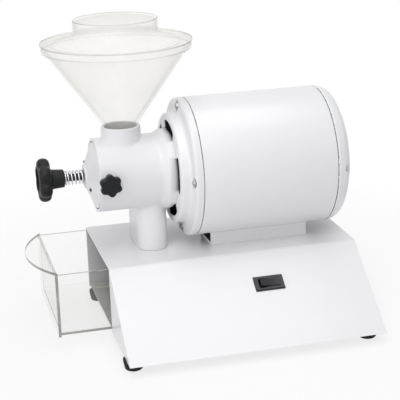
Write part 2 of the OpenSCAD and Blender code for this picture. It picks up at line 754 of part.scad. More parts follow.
module fixed_burr() color("gray") about_axis() difference() {
    translate([0, 0, carrier_end]) burr(feed_r, 0);
    around(3, 90) translate([burr_screw_circle, 0, carrier_end - 1]) {
        cylinder(h = burr_t + 2, r = burr_screw_r + 0.1);
        translate([0, 0, burr_t - 2.2]) cylinder(h = 5, r = 3.6);
    }
}

module burr_screws() color(steel) about_axis() around(3, 90) translate([burr_screw_circle, 0, 0]) {
    disc(carrier_end - 7, burr_t + 4, burr_screw_r);
    disc(carrier_end + burr_t - 3.2, 2.2, 3.4);
}

module rotating_burr() color("gray") about_axis()
    translate([0, 0, turning_face + burr_t]) mirror([0, 0, 1]) burr(shaft_r + eps, 4);

// Feed screw: a sleeve on the shaft with one helical flight
flight_r = feed_r - 1;
sleeve_r = thread_r + 2.2;

module feed_screw() color("gray") about_axis() translate([0, 0, feed_start]) {
    length = turning_face - feed_start - eps;
    difference() {
        union() {
            cylinder(h = length, r = sleeve_r);
            linear_extrude(length - 1, twist = -360 * length / feed_pitch, slices = 30, segments = 4) flight_section();
        }
        translate([0, 0, -1]) cylinder(h = length + 2, r = thread_r + eps);
    }
}

// Cross-section of the flight: a tongue that joins the sleeve
module flight_section()
    polygon([[sleeve_r - 1, -2.8], [flight_r, -1.4], [flight_r, 1.4], [sleeve_r - 1, 2.8]]);

module feed_nut() color(steel) about_axis() difference() {
    translate([0, 0, feed_start - 4]) cylinder(h = 4 - eps, r = 9, $fn = 6);
    disc(feed_start - 5, 6, thread_r + eps);
}

module adjusting_screw() color(steel) about_axis() rotate_extrude() polygon([
    [0, knob_end + 6], [screw_r, knob_end + 6], [screw_r, collar_x], [collar_r, collar_x],
    [collar_r, carrier_x - slide_gap], [journal_r, carrier_x - slide_gap],
    [journal_r, carrier_x + wall_disc + 2], [0, carrier_x + wall_disc + 2]
]);

module screw_clip() color(steel) about_axis()
    ring(carrier_x + wall_disc + slide_gap, 1.2, journal_r + 3, journal_r + eps);

hub_foot_r = 11;
hub_tip_r = 9.8;
knob_turn = 55;
recess_r = knob_r - knob_round - 1.5;

// Half of the knob head's side view: both edges of the rim are rounded
module knob_side() {
    r = knob_round;
    translate([0, knob_end]) square([knob_r - r, knob_head]);
    translate([0, knob_end + r]) square([knob_r, knob_head - 2 * r]);
    for (x = [knob_end + r, head_face - r]) translate([knob_r - r, x]) intersection() {
        circle(r);
        translate([-r, -r]) square(2 * r);
    }
}

module adjusting_knob() color(black) about_axis() difference() {
    union() {
        intersection() {
            translate([0, 0, knob_end]) linear_extrude(knob_head) rotate(knob_turn) lobes(knob_lobes, knob_r, knob_r * 0.32);
            rotate_extrude() knob_side();
        }
        rotate_extrude() polygon([
            [0, head_face - 1], [hub_foot_r, head_face - 1], [hub_foot_r, head_face + 1], [hub_tip_r, hub_face], [0, hub_face]
        ]);
    }
    rotate_extrude() polygon([
        [0, knob_end - 1], [recess_r, knob_end - 1], [recess_r - 1.5, knob_end + 5], [screw_r + 4, knob_end + 6], [0, knob_end + 6]
    ]);
    disc(knob_end, knob_head + knob_hub + 2, screw_r + eps);
}

// Spring: one tube along a helix, whose ends turn square to the cover and the knob

wire_r = wire_d / 2;
ring_sides = 6;
rings_per_turn = 8;
coil_length = spring_l - 2 * wire_d;
coil_rings = spring_turns * rings_per_turn;
function on_spring(x, a) = [x, spring_r * cos(a), spring_r * sin(a)];
spring_path = concat(
    [on_spring(hub_face, 0)],
    [for (i = [0 : coil_rings]) on_spring(hub_face + wire_d + coil_length * i / coil_rings, 360 * i / rings_per_turn)],
    [on_spring(cover_face, 0)]
);

function unit(v) = v / norm(v);
function heading(path, i) =
    i == 0 ? unit(path[1] - path[0]) :
    i == len(path) - 1 ? unit(path[i] - path[i - 1]) :
    unit(unit(path[i + 1] - path[i]) + unit(path[i] - path[i - 1]));

// A ring of points square to the path, started from the direction away from the axis
function tube_ring(path, i, r) =
    let (t = heading(path, i), p = path[i], outward = unit([0, p.y, p.z]),
        u = unit(outward - (outward * t) * t), v = cross(t, u))
    [for (k = [0 : ring_sides - 1]) p + r * (cos(360 * k / ring_sides) * u + sin(360 * k / ring_sides) * v)];

module tube(path, r) {
    last = len(path) - 1;
    points = [for (i = [0 : last]) each tube_ring(path, i, r)];
    skin = [
        for (i = [0 : last - 1]) for (k = [0 : ring_sides - 1])
            let (a = i * ring_sides + k, b = i * ring_sides + (k + 1) % ring_sides)
            each [[a, a + ring_sides, b], [b, a + ring_sides, b + ring_sides]]
    ];
    ends = [
        for (k = [1 : ring_sides - 2])
            each [[0, k, k + 1], [last * ring_sides, last * ring_sides + k + 1, last * ring_sides + k]]
    ];
    polyhedron(points, concat(skin, ends));
}

// Least gap between turns: points at least three quarters of a turn apart
spring_gap = min([
    for (i = [0 : len(spring_path) - 1]) for (j = [i + rings_per_turn * 3 / 4 : 1 : len(spring_path) - 1])
        norm(spring_path[i] - spring_path[j])
]) - wire_d;
echo(least_gap_between_spring_turns = spring_gap);

module adjuster_spring() color(steel) at_origin() translate([0, axis_y, axis_z]) tube(spring_path, wire_r);

// Clamp knob on the front of the tube

star_base = tube_r + 2;
star_t = 10;

module at_star() at_origin() translate([star_x, axis_y, axis_z]) rotate([90, 0, 0]) children();

module clamp_knob() color(black) at_star() difference() {
    union() {
        intersection() {
            translate([0, 0, star_base + 1.5]) linear_extrude(star_t - 1.5) lobes(6, star_r, 4);
            rotate_extrude() polygon([
                [0, star_base], [star_r - 1, star_base], [star_r, star_base + 2.5], [star_r, star_base + star_t - 3],
                [star_r - 1.5, star_base + star_t - 1], [star_r - 4, star_base + star_t], [0, star_base + star_t]
            ]);
        }
        translate([0, 0, star_base]) cylinder(h = 2, r = star_r - 5);
    }
    translate([0, 0, star_base - 1]) cylinder(h = 7, r = stud_r + eps);
}

module clamp_stud() color(steel) at_star()
    translate([0, 0, mouth_r]) cylinder(h = star_base + 5.9 - mouth_r, r = stud_r);

// Hopper and lid, turned about the neck's axis

spout_r = neck_bore_r - seat_gap;
spout_l = 12;

module at_neck() at_origin() translate([neck_x, axis_y, 0]) children();

module hopper() color(clear) at_neck() rotate_extrude() {
    t = hopper_t;
    top = band_z + rim_band - slide_gap;
    polygon([
        [spout_r, rim_z - spout_l], [spout_r, rim_z], [cone_r, step_z], [rim_r - 1, band_z - 1], [rim_r, band_z],
        [rim_r, top], [rim_r - t, top], [rim_r - t, band_z + 0.6], [cone_r - t * 0.5, step_z + 1.6],
        [spout_r - t, rim_z + 1], [spout_r - t, rim_z - spout_l]
    ]);
}

module hopper_lid() color(clear) at_neck() rotate_extrude() {
    t = hopper_t;
    edge = rim_r + 1;
    cap_z = lid_z + lid_rise;
    top = cap_z + cap_h;
    seat_r = cone_r - 3;
    polygon([
        [edge, lid_z], [edge, lid_z + t * 0.7], [edge - 1, lid_z + t], [seat_r + 2, lid_z + t + 1], [cap_r + 1.5, cap_z],
        [cap_r, cap_z + 1.2], [cap_r, top - 2.5], [cap_r - 0.8, top - 0.8], [cap_r - 2.5, top], [0, top], [0, top - t],
        [cap_r - 3, top - t], [cap_r - t, top - 3], [cap_r - t, cap_z], [cap_r, cap_z - t],
        [seat_r - t, lid_z + 1], [seat_r - t, lid_z - 4], [seat_r, lid_z - 4], [seat_r, lid_z]
    ]);
}

// Drawer: clear sheets glued edge to edge

module drawer_floor() color(clear) at_origin()
    slab([drawer_x, drawer_y, floor_z], [drawer_x + drawer_l, drawer_y + drawer_w, floor_z + clear_t]);

module drawer_side(y) at_origin()
    slab([drawer_x, y, floor_z + clear_t], [drawer_x + drawer_l, y + clear_t, drawer_top]);

module drawer_near_wall() color(clear) drawer_side(drawer_y);

module drawer_far_wall() color(clear) drawer_side(drawer_y + drawer_w - clear_t);

module drawer_back() color(clear) at_origin() slab(
    [drawer_x + drawer_l - clear_t, drawer_y + clear_t, floor_z + clear_t],
    [drawer_x + drawer_l, drawer_y + drawer_w - clear_t, drawer_top]
);

module drawer_front() color(clear) at_origin() slab(
    [drawer_x - clear_t, drawer_y, foot_h + 1], [drawer_x, drawer_y + drawer_w, front_top - clear_t]
);

// A segment of a circle on top of the front sheet
module drawer_handle() color(clear) at_origin()
    translate([drawer_x, drawer_y + drawer_w / 2, front_top - clear_t]) linear_extrude(clear_t) intersection() {
        r = (drawer_w * drawer_w / 4 + handle_sag * handle_sag) / (2 * handle_sag);
        translate([r - handle_sag, 0]) circle(r, $fn = 180);
        translate([-handle_sag - 1, -drawer_w]) square([handle_sag + 1, 2 * drawer_w]);
    }

base_shell();
back_panel();
base_plate();
bay_partition();
drawer_runners();
feet();
foot_screws();
base_screws();
cord_gland();
switch_body();
switch_rocker();
capacitor();
capacitor_clamp();
motor_cradle();
cradle_bolts();
motor_shell();
front_end_shield();
rear_end_shield();
tie_rods();
tie_nuts();
stator_core();
stator_windings();
front_bearing();
rear_bearing();
shaft_seal();
motor_shaft();
rotor_core();
cooling_fan();
grinder_body();
body_bolts();
front_cover();
guide_screws();
burr_carrier();
fixed_burr();
burr_screws();
rotating_burr();
feed_screw();
feed_nut();
adjusting_screw();
screw_clip();
adjusting_knob();
adjuster_spring();
clamp_knob();
clamp_stud();
hopper();
hopper_lid();
drawer_floor();
drawer_near_wall();
drawer_far_wall();
drawer_back();
drawer_front();
drawer_handle();
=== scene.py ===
import math

import bmesh
import bpy
import numpy as np
from mathutils import Matrix, Vector


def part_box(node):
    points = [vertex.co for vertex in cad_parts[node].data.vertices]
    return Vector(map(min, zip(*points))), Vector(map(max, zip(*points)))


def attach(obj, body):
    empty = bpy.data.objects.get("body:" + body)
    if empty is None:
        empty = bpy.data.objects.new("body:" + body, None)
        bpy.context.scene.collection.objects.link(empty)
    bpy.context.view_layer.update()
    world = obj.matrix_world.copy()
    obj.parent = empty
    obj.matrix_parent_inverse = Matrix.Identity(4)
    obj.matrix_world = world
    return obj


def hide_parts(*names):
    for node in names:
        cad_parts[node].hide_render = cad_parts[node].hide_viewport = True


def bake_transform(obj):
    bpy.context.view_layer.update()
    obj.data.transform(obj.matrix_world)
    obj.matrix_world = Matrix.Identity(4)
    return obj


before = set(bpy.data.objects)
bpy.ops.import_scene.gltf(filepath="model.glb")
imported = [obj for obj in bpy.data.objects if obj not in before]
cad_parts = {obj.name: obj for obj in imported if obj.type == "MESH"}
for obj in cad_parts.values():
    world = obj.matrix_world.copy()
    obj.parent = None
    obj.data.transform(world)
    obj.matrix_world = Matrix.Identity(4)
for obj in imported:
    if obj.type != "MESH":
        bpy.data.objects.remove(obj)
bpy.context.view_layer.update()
scene = bpy.context.scene

# The mill's own frame is in millimetres: X from the base's left end, Y from the front edge of
# the base's top, Z from the table. ORIGIN is where the row's frame, in metres, has its origin.
MM = 0.001
ORIGIN = Vector((100.5, 26.5, 0.0))
TO_ROW = Matrix.Scale(MM, 4) @ Matrix.Translation(-ORIGIN)
X, Y, Z = 0, 1, 2


def span_of(node, axis):
    """A solid's lowest and highest place along an axis of the mill, to a hundredth of a millimetre."""
    return [round(corner[axis] / MM + ORIGIN[axis], 2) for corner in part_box(node)]


def middle_of(node, axis):
    """The place halfway between a solid's ends along an axis of the mill."""
    return round(sum(span_of(node, axis)) / 2, 2)


# Sizes and places that the solids give
SHELL_X, SHELL_END = span_of("motor_shell", X)
AXIS_Y, AXIS_Z = middle_of("motor_shell", Y), middle_of("motor_shell", Z)
MOTOR_R = AXIS_Z - span_of("motor_shell", Z)[0]
TOP_Z = span_of("base_shell", Z)[1]
NECK_X, RIM_Z = middle_of("hopper_lid", X), span_of("grinder_body", Z)[1]
HOPPER_TOP = span_of("hopper", Z)[1]
COVER_FACE, HUB_FACE = span_of("front_cover", X)[0], span_of("adjusting_knob", X)[1]
STAR_X, STAR_BACK = middle_of("clamp_knob", X), span_of("clamp_knob", Y)[1]

# Sizes and places that more than one piece needs
BELL_X = 86.0
ROD_CIRCLE, ROD_ANGLES = 69.5, (0, 90, 180, 270)
SPOT_FRONT, SPOT_REAR, NUT_R = SHELL_X - 7, SHELL_END + 8.2, 4.05

# The front corner of the base's top is a bend: INTO_BEND leads from the planes' corner onto it
CORNER_Y, INTO_BEND = 0.7, Vector((0, -2.137, -1.613))

# Lines that pieces are turned about: a point on it, its direction, and a direction away from it
MOTOR_LINE = (Vector((0, AXIS_Y, AXIS_Z)), Vector((1, 0, 0)), Vector((0, 0, 1)))
NECK_LINE = (Vector((NECK_X, AXIS_Y, 0)), Vector((0, 0, 1)), Vector((1, 0, 0)))


# Camera: fitted to the photograph

AZIMUTH, ELEVATION, ROLL = (math.radians(v) for v in (13.97, 17.28, -1.94))
FOCAL_PX, FRAME_PX, SENSOR = 1255.2, 400.0, 36.0
CAMERA_AT = Vector((-207.5, -1249.5, 552.0))
SIGHT_END = 20.0


def make_camera():
    """Stands the camera where the photograph was taken from, with its slight roll."""
    flat = math.cos(ELEVATION)
    forward = Vector((math.sin(AZIMUTH) * flat, math.cos(AZIMUTH) * flat, -math.sin(ELEVATION)))
    right = Vector((math.cos(AZIMUTH), -math.sin(AZIMUTH), 0))
    up = right.cross(forward)
    turned_right = right * math.cos(ROLL) + up * math.sin(ROLL)
    turned_up = up * math.cos(ROLL) - right * math.sin(ROLL)
    data = bpy.data.cameras.new("camera")
    data.sensor_fit = "HORIZONTAL"
    data.sensor_width = SENSOR
    data.lens = FOCAL_PX / FRAME_PX * data.sensor_width
    data.clip_end = SIGHT_END
    camera = bpy.data.objects.new("camera", data)
    turn = Matrix((turned_right, turned_up, -forward)).transposed().to_4x4()
    camera.matrix_world = Matrix.Translation(TO_ROW @ CAMERA_AT) @ turn
    scene.collection.objects.link(camera)
    scene.camera = camera


make_camera()
scene.view_settings.view_transform = "Standard"


# Finishes. Scales of patterns are in features per metre.

NOISE_LOW, NOISE_HIGH = 0.3, 0.7
GLOSS_FINER, BUMP_HEIGHT = 2.7, 0.0002
SPECK_SCALE, PATCH_SCALE, SPECK_COLOUR = 260.0, 70.0, (0.10, 0.06, 0.035)
HAZE, HAZE_SCALE, ACRYLIC_IOR = 0.15, 22.0, 1.49
# Levels of the upward normal over which the painted light on clear edges comes in.
LOOKS_LEVEL, LOOKS_UP = 0.4, 0.8


def node_of(tree, kind, inputs=None, **settings):
    """Adds a shader node, sets its properties and fills or links its inputs."""
    node = tree.nodes.new(kind)
    for key, value in settings.items():
        setattr(node, key, value)
    for key, value in (inputs or {}).items():
        if isinstance(value, bpy.types.NodeSocket):
            tree.links.new(value, node.inputs[key])
        else:
            node.inputs[key].default_value = value
    return node


def noise(tree, coords, scale, detail=4.0):
    """A noise value about one half."""
    inputs = {"Vector": coords, "Scale": scale, "Detail": detail, "Roughness": 0.55}
    return node_of(tree, "ShaderNodeTexNoise", inputs).outputs["Fac"]


def mapped(tree, value, low, high, to_low, to_high):
    """Moves a value from one range to another, and keeps it there."""
    inputs = {"Value": value, "From Min": low, "From Max": high, "To Min": to_low, "To Max": to_high}
    return node_of(tree, "ShaderNodeMapRange", inputs).outputs["Result"]


def wander(tree, coords, scale, low, high):
    """A value that drifts between low and high over a surface."""
    return mapped(tree, noise(tree, coords, scale), NOISE_LOW, NOISE_HIGH, low, high)


def maths(tree, operation, a, b):
    """The outcome of one operation on two values."""
    return node_of(tree, "ShaderNodeMath", {0: a, 1: b}, operation=operation).outputs[0]


def blended(tree, share, tint, other):
    """A tint that goes over to another colour as the share goes from nought to one."""
    blend = node_of(tree, "ShaderNodeMix", {"Factor": share}, data_type="RGBA")
    tree.links.new(tint, blend.inputs["A"])
    blend.inputs["B"].default_value = (*other, 1)
    return blend.outputs["Result"]


def retint(material, share, tint):
    """Draws a finish's colour towards another tint, by a share."""
    tree = material.node_tree
    colour = tree.nodes["Principled BSDF"].inputs["Base Color"]
    tree.links.new(blended(tree, share, colour.links[0].from_socket, tint), colour)


def finish(name, colour, rough, metal=0.0, mottle=0.02, mottle_scale=40.0, spread=0.03, grain=1500.0,
           bump=0.02, stretch=(1, 1, 1), specks=0.0, **sockets):
    """A surface with mottled colour, uneven gloss, a fine bump and, where asked, sparse specks."""
    material = bpy.data.materials.new(name)
    material.use_nodes = True
    tree = material.node_tree
    shader = tree.nodes["Principled BSDF"]
    shader.inputs["Metallic"].default_value = metal
    for key, value in sockets.items():
        shader.inputs[key.replace("_", " ")].default_value = value
    coords = node_of(tree, "ShaderNodeTexCoord").outputs["Object"]
    coords = node_of(tree, "ShaderNodeMapping", {"Vector": coords, "Scale": stretch}).outputs["Vector"]
    level = wander(tree, coords, mottle_scale, 1 - mottle, 1 + mottle)
    mottled = node_of(tree, "ShaderNodeVectorMath", {0: colour, 1: level}, operation="MULTIPLY")
    tint = mottled.outputs["Vector"]
    if specks:
        dots = node_of(tree, "ShaderNodeTexVoronoi", {"Vector": coords, "Scale": SPECK_SCALE}, feature="F1")
        patch = mapped(tree, noise(tree, coords, PATCH_SCALE), 0.5, NOISE_HIGH, 0.0, specks)
        mask = maths(tree, "LESS_THAN", dots.outputs["Distance"], patch)
        tint = blended(tree, mask, tint, SPECK_COLOUR)
    tree.links.new(tint, shader.inputs["Base Color"])
    gloss = wander(tree, coords, mottle_scale * GLOSS_FINER, max(rough - spread, 0), rough + spread)
    tree.links.new(gloss, shader.inputs["Roughness"])
    height = noise(tree, coords, grain, detail=3.0)
    lift = node_of(tree, "ShaderNodeBump", {"Strength": bump, "Distance": BUMP_HEIGHT, "Height": height})
    tree.links.new(lift.outputs["Normal"], shader.inputs["Normal"])
    return material


def clear_finish(name, tint, rough, face_on, edge_on, edge_shade, narrow=4.0):
    """Clear plastic with a faint haze: nearly see-through face on and denser edge on, where a painted shade
    darkens its colour.
    """
    material = finish(name, tint, rough, mottle=0.01, spread=0.02, grain=160, bump=0.02, IOR=ACRYLIC_IOR)
    tree = material.node_tree
    coords = node_of(tree, "ShaderNodeTexCoord").outputs["Object"]
    cloud = wander(tree, coords, HAZE_SCALE, face_on * (1 - HAZE), face_on * (1 + HAZE))
    facing = node_of(tree, "ShaderNodeLayerWeight", {"Blend": 0.5}).outputs["Facing"]
    steep = maths(tree, "POWER", facing, narrow)
    cover = mapped(tree, steep, 0.0, 1.0, cloud, edge_on)
    tree.links.new(cover, tree.nodes["Principled BSDF"].inputs["Alpha"])
    # Painted shade: the colour darkens where the wall is seen edge on.
    retint(material, steep, edge_shade)
    return material


def painted_light_above(material, tint):
    """Gives the faces that look up a lighter tint: painted light on a clear sheet's upper edge, as if lit
    from above.
    """
    tree = material.node_tree
    normal = node_of(tree, "ShaderNodeTexCoord").outputs["Normal"]
    upward = node_of(tree, "ShaderNodeSeparateXYZ", {"Vector": normal}).outputs["Z"]
    retint(material, mapped(tree, upward, LOOKS_LEVEL, LOOKS_UP, 0.0, 1.0), tint)


WHITE = (0.84, 0.84, 0.86)
SHEET_COAT = dict(mottle=0.004, spread=0.01, grain=900, bump=0.012, Coat_Weight=0.12, Coat_Roughness=0.12)
BRIGHT = dict(rough=0.24, metal=1.0, mottle=0.06, mottle_scale=300, grain=4000, bump=0.06)

FINISHES = {
    "sheet_paint": dict(colour=WHITE, rough=0.26, **SHEET_COAT),
    # Painted light: the cradle's white is brighter than WHITE, standing in for light that the motor keeps
    # off it.
    "cradle_painted_light": dict(colour=(0.93, 0.93, 0.94), rough=0.3, **SHEET_COAT),
    "cast_paint": dict(colour=WHITE, rough=0.32, mottle=0.006, spread=0.012, grain=420, bump=0.05,
                       Coat_Weight=0.12, Coat_Roughness=0.18),
    "barrel_paint": dict(colour=WHITE, rough=0.32, mottle=0.004, spread=0.01, grain=700, bump=0.018,
                         Coat_Weight=0.1, Coat_Roughness=0.18),
    # Painted shade: near black, for the insides and joints of the castings where shade falls.
    "cast_painted_shade": dict(colour=(0.012, 0.012, 0.013), rough=0.8, mottle=0.2, mottle_scale=200, grain=900,
                         bump=0.2),
    # Painted shade: near black, for the cradle's inside under the motor.
    "cradle_painted_shade": dict(colour=(0.02, 0.02, 0.022), rough=0.8, mottle=0.1, grain=900),
    "grey_sheet": dict(colour=(0.62, 0.63, 0.62), rough=0.4, mottle=0.01, grain=900),
    "steel": dict(colour=(0.74, 0.74, 0.75), **BRIGHT),
    "nut_steel": dict(colour=(0.42, 0.42, 0.43), **BRIGHT),
    "spring_steel": dict(colour=(0.72, 0.72, 0.74), rough=0.2, metal=1.0, mottle=0.05, mottle_scale=400,
                         grain=5000, bump=0.04),
    "dark_steel": dict(colour=(0.03, 0.03, 0.033), rough=0.45, metal=0.5, mottle=0.1, mottle_scale=500,
                       grain=4000, bump=0.08),
    "black_plastic": dict(colour=(0.006, 0.0065, 0.0075), rough=0.42, mottle=0.12, mottle_scale=120,
                          grain=2500, bump=0.1, Specular_IOR_Level=0.25),
    "switch_plastic": dict(colour=(0.010, 0.010, 0.012), rough=0.3, mottle=0.1, mottle_scale=200,
                           grain=3500, bump=0.06, Specular_IOR_Level=0.4),
    "foot_rubber": dict(colour=(0.010, 0.010, 0.010), rough=0.7, mottle=0.15, mottle_scale=150, grain=2500,
                        bump=0.25, Specular_IOR_Level=0.3),
    "seal_rubber": dict(colour=(0.12, 0.05, 0.03), rough=0.65, mottle=0.1, grain=2500, bump=0.2),
    "nylon": dict(colour=(0.78, 0.76, 0.68), rough=0.45, mottle=0.03, grain=1800, bump=0.08),
    "capacitor_case": dict(colour=(0.62, 0.62, 0.62), rough=0.35, mottle=0.03, grain=1200, bump=0.05),
    "lamination": dict(colour=(0.16, 0.16, 0.17), rough=0.45, metal=0.8, mottle=0.2, mottle_scale=60,
                       grain=300, bump=0.2, stretch=(40, 1, 1)),
    "winding": dict(colour=(0.42, 0.16, 0.06), rough=0.35, metal=0.7, mottle=0.3, mottle_scale=200,
                    grain=1100, bump=0.6),
    "fan_plastic": dict(colour=(0.05, 0.05, 0.05), rough=0.5, mottle=0.1, grain=1500, bump=0.15),
    "cast_alloy": dict(colour=(0.58, 0.58, 0.6), rough=0.45, metal=0.9, mottle=0.08, mottle_scale=150,
                       grain=900, bump=0.3, specks=0.25),
    "burr_steel": dict(colour=(0.36, 0.36, 0.37), rough=0.35, metal=1.0, mottle=0.1, mottle_scale=200,
                       grain=2500, bump=0.2),
}
CLEAR_FINISHES = {
    "hopper_plastic": dict(tint=(0.89, 0.875, 0.81), rough=0.12, face_on=0.125, edge_on=0.6,
                           edge_shade=(0.5, 0.48, 0.43), narrow=5.0),
    # Painted shade: dark lines where the hopper's and lid's clear rims are seen edge on.
    "hopper_rim_shade": dict(tint=(0.4, 0.38, 0.34), rough=0.15, face_on=0.17, edge_on=0.95,
                        edge_shade=(0.06, 0.055, 0.05), narrow=1.2),
    "drawer_sheet": dict(tint=(0.9, 0.89, 0.86), rough=0.08, face_on=0.034, edge_on=0.3,
                         edge_shade=(0.6, 0.59, 0.57)),
    # Painted shade: the drawer sheets' cut edges are dark, with painted light where they face up.
    "sheet_edge_painted_shade": dict(tint=(0.16, 0.155, 0.145), rough=0.2, face_on=0.75, edge_on=0.85,
                       edge_shade=(0.14, 0.135, 0.13)),
}
MATERIALS = {name: finish(name, **look) for name, look in FINISHES.items()}
MATERIALS.update((name, clear_finish(name, **look)) for name, look in CLEAR_FINISHES.items())
# Painted light on the drawer sheets' upward edges.
painted_light_above(MATERIALS["sheet_edge_painted_shade"], (0.36, 0.355, 0.34))


# Making pieces

MERGE, SLIVER, DRESS_MERGE, FLAT_ANGLE = 0.002, 0.001, 0.03, 0.6


def settle(name, mesh, look, body, nodes, sharp=32.0):
    """Gives a finished mesh its finish, joins it to a body and hides the solids it stands for."""
    mesh.polygons.foreach_set("use_smooth", [True] * len(mesh.polygons))
    if sharp:
        mesh.set_sharp_from_angle(angle=math.radians(sharp))
    mesh.materials.append(MATERIALS[look])
    obj = bpy.data.objects.new(name, mesh)
    scene.collection.objects.link(obj)
    if body:
        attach(obj, body)
    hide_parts(*nodes)
    return obj


def soften(work, geom, offset, segments=2, affect="EDGES", clamp=False):
    """Rounds edges or, where affect says so, the corners of an outline."""
    bmesh.ops.bevel(work, geom=geom, offset=offset, offset_type="OFFSET", segments=segments, profile=0.5,
                    affect=affect, clamp_overlap=clamp, material=-1)


def edges_at(verts):
    """The edges that meet some points, each once."""
    return list(dict.fromkeys(edge for vert in verts for edge in vert.link_edges))


def repeat_round_motor(work, count):
    """Copies all that is drawn so far round the motor's line."""
    bmesh.ops.spin(work, geom=work.verts[:] + work.edges[:] + work.faces[:], cent=MOTOR_LINE[0],
                   axis=MOTOR_LINE[1], angle=2 * math.pi, steps=count, use_duplicate=True)


def made(name, work, look, body, nodes):
    """Closes a shape drawn in millimetres, turns its faces outwards and moves it to the row's frame."""
    bmesh.ops.remove_doubles(work, verts=work.verts, dist=MERGE)
    bmesh.ops.dissolve_degenerate(work, edges=work.edges, dist=SLIVER)
    bmesh.ops.recalc_face_normals(work, faces=work.faces)
    bmesh.ops.transform(work, matrix=TO_ROW, verts=work.verts)
    mesh = bpy.data.meshes.new(name)
    work.to_mesh(mesh)
    work.free()
    return settle(name, mesh, look, body, nodes)


def turned(name, corners, line, look, body, nodes, steps=160, second=None, bands=()):
    """Turns an outline about a line; its corners are (radius, height along the line, rounding).

    The bands, as least and greatest radius and height, have the second finish.
    """
    middle, along, out = line
    work = bmesh.new()
    verts = [work.verts.new(middle + along * corner[1] + out * corner[0]) for corner in corners]
    for pair in zip(verts, verts[1:]):
        work.edges.new(pair)
    if corners[0][0] or corners[-1][0]:
        work.edges.new((verts[-1], verts[0]))
    for vert, corner in zip(verts, corners):
        if len(corner) > 2:
            soften(work, [vert], corner[2], 5, "VERTICES")
    bmesh.ops.spin(work, geom=work.verts[:] + work.edges[:], cent=middle, axis=along, angle=2 * math.pi,
                   steps=steps, use_merge=True)
    for face in work.faces:
        off = face.calc_center_median() - middle
        height = off.dot(along)
        radius = (off - along * height).length
        face.material_index = int(any(a < radius < b and c < height < d for a, b, c, d in bands))
    obj = made(name, work, look, body, nodes)
    if second:
        obj.data.materials.append(MATERIALS[second])
    return obj


def dress(node, look, body, width=0.3, segments=2, angle=35.0, second=None, picks=None, corner=None):
    """Shows a solid's own shape with softened edges.

    picks chooses the faces that have the second finish; corner's points are drawn in onto a bend.
    """
    work = bmesh.new()
    work.from_mesh(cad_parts[node].data)
    if corner:
        points = [vert for vert in work.verts if corner(vert.co / MM + ORIGIN)]
        bmesh.ops.translate(work, verts=points, vec=INTO_BEND * MM)
    bmesh.ops.remove_doubles(work, verts=work.verts, dist=DRESS_MERGE * MM)
    bmesh.ops.dissolve_limit(work, angle_limit=math.radians(FLAT_ANGLE), verts=work.verts, edges=work.edges)
    bmesh.ops.recalc_face_normals(work, faces=work.faces)
    limit = math.radians(angle)
    edges = [e for e in work.edges if len(e.link_faces) == 2 and e.calc_face_angle(0) > limit]
    soften(work, edges, width * MM, segments, clamp=True)
    bmesh.ops.recalc_face_normals(work, faces=work.faces)
    for face in work.faces:
        face.material_index = int(picks is not None and picks(face))
    mesh = bpy.data.meshes.new(node + "_dressed")
    work.to_mesh(mesh)
    work.free()
    obj = settle(node + "_dressed", mesh, look, body, (node,))
    if second:
        mesh.materials.append(MATERIALS[second])
    even = obj.modifiers.new("even_normals", "WEIGHTED_NORMAL")
    even.keep_sharp = True
    even.weight = 100
    return obj


# Castings and mouldings: forms that flow into each other with fillets. A form is a distance in
# millimetres, negative inside, and its skin is laid over a grid and drawn onto the form.

GRID_PART, SLOPE_STEP, DRAWS = 400000, 0.02, 4


def fillet(a, b, k):
    """Joins two forms with a fillet."""
    h = np.maximum(k - np.abs(a - b), 0) / k
    return np.minimum(a, b) - h * h * k * 0.25


def trim(a, b, k):
    """Keeps what two forms share, with a rounded edge."""
    return -fillet(-a, -b, k)


def slab(value, low, high):
    """The form of what lies between two levels."""
    return np.abs(value - (low + high) / 2) - (high - low) / 2


def rounded(corners, steps=6):
    """A closed outline whose corners (x, y, radius) are rounded with arcs."""
    out = []
    count = len(corners)
    for i, corner in enumerate(corners):
        p = np.array(corner[:2], float)
        r = corner[2] if len(corner) > 2 else 0.0
        if not r:
            out.append(p)
            continue
        a = np.array(corners[i - 1][:2], float) - p
        b = np.array(corners[(i + 1) % count][:2], float) - p
        la, lb = np.linalg.norm(a), np.linalg.norm(b)
        a, b = a / la, b / lb
        half = math.acos(max(-1.0, min(1.0, float(a @ b)))) / 2
        reach = min(r / math.tan(half), la * 0.49, lb * 0.49)
        r = reach * math.tan(half)
        middle = a + b
        centre = p + middle / np.linalg.norm(middle) * (r / math.sin(half))
        start, end = p + a * reach - centre, p + b * reach - centre
        sweep = math.atan2(start[0] * end[1] - start[1] * end[0], float(start @ end))
        for k in range(steps + 1):
            t = sweep * k / steps
            c, s = math.cos(t), math.sin(t)
            out.append(centre + np.array([c * start[0] - s * start[1], s * start[0] + c * start[1]]))
    return np.array(out)


def turned_form(outline, radius, height):
    """The form of a closed outline turned about a line."""
    best = np.full(radius.shape, 1e9)
    inside = np.zeros(radius.shape, bool)
    for (ax, ay), (bx, by) in zip(outline, np.roll(outline, -1, 0)):
        ex, ey = bx - ax, by - ay
        length = ex * ex + ey * ey
        if length < 1e-12:
            continue
        t = np.clip(((radius - ax) * ex + (height - ay) * ey) / length, 0, 1)
        best = np.minimum(best, (radius - ax - t * ex) ** 2 + (height - ay - t * ey) ** 2)
        if ay != by:
            crosses = (ay > height) != (by > height)
            inside ^= crosses & (radius < ax + (height - ay) * ex / ey)
    return np.where(inside, -1, 1) * np.sqrt(best)


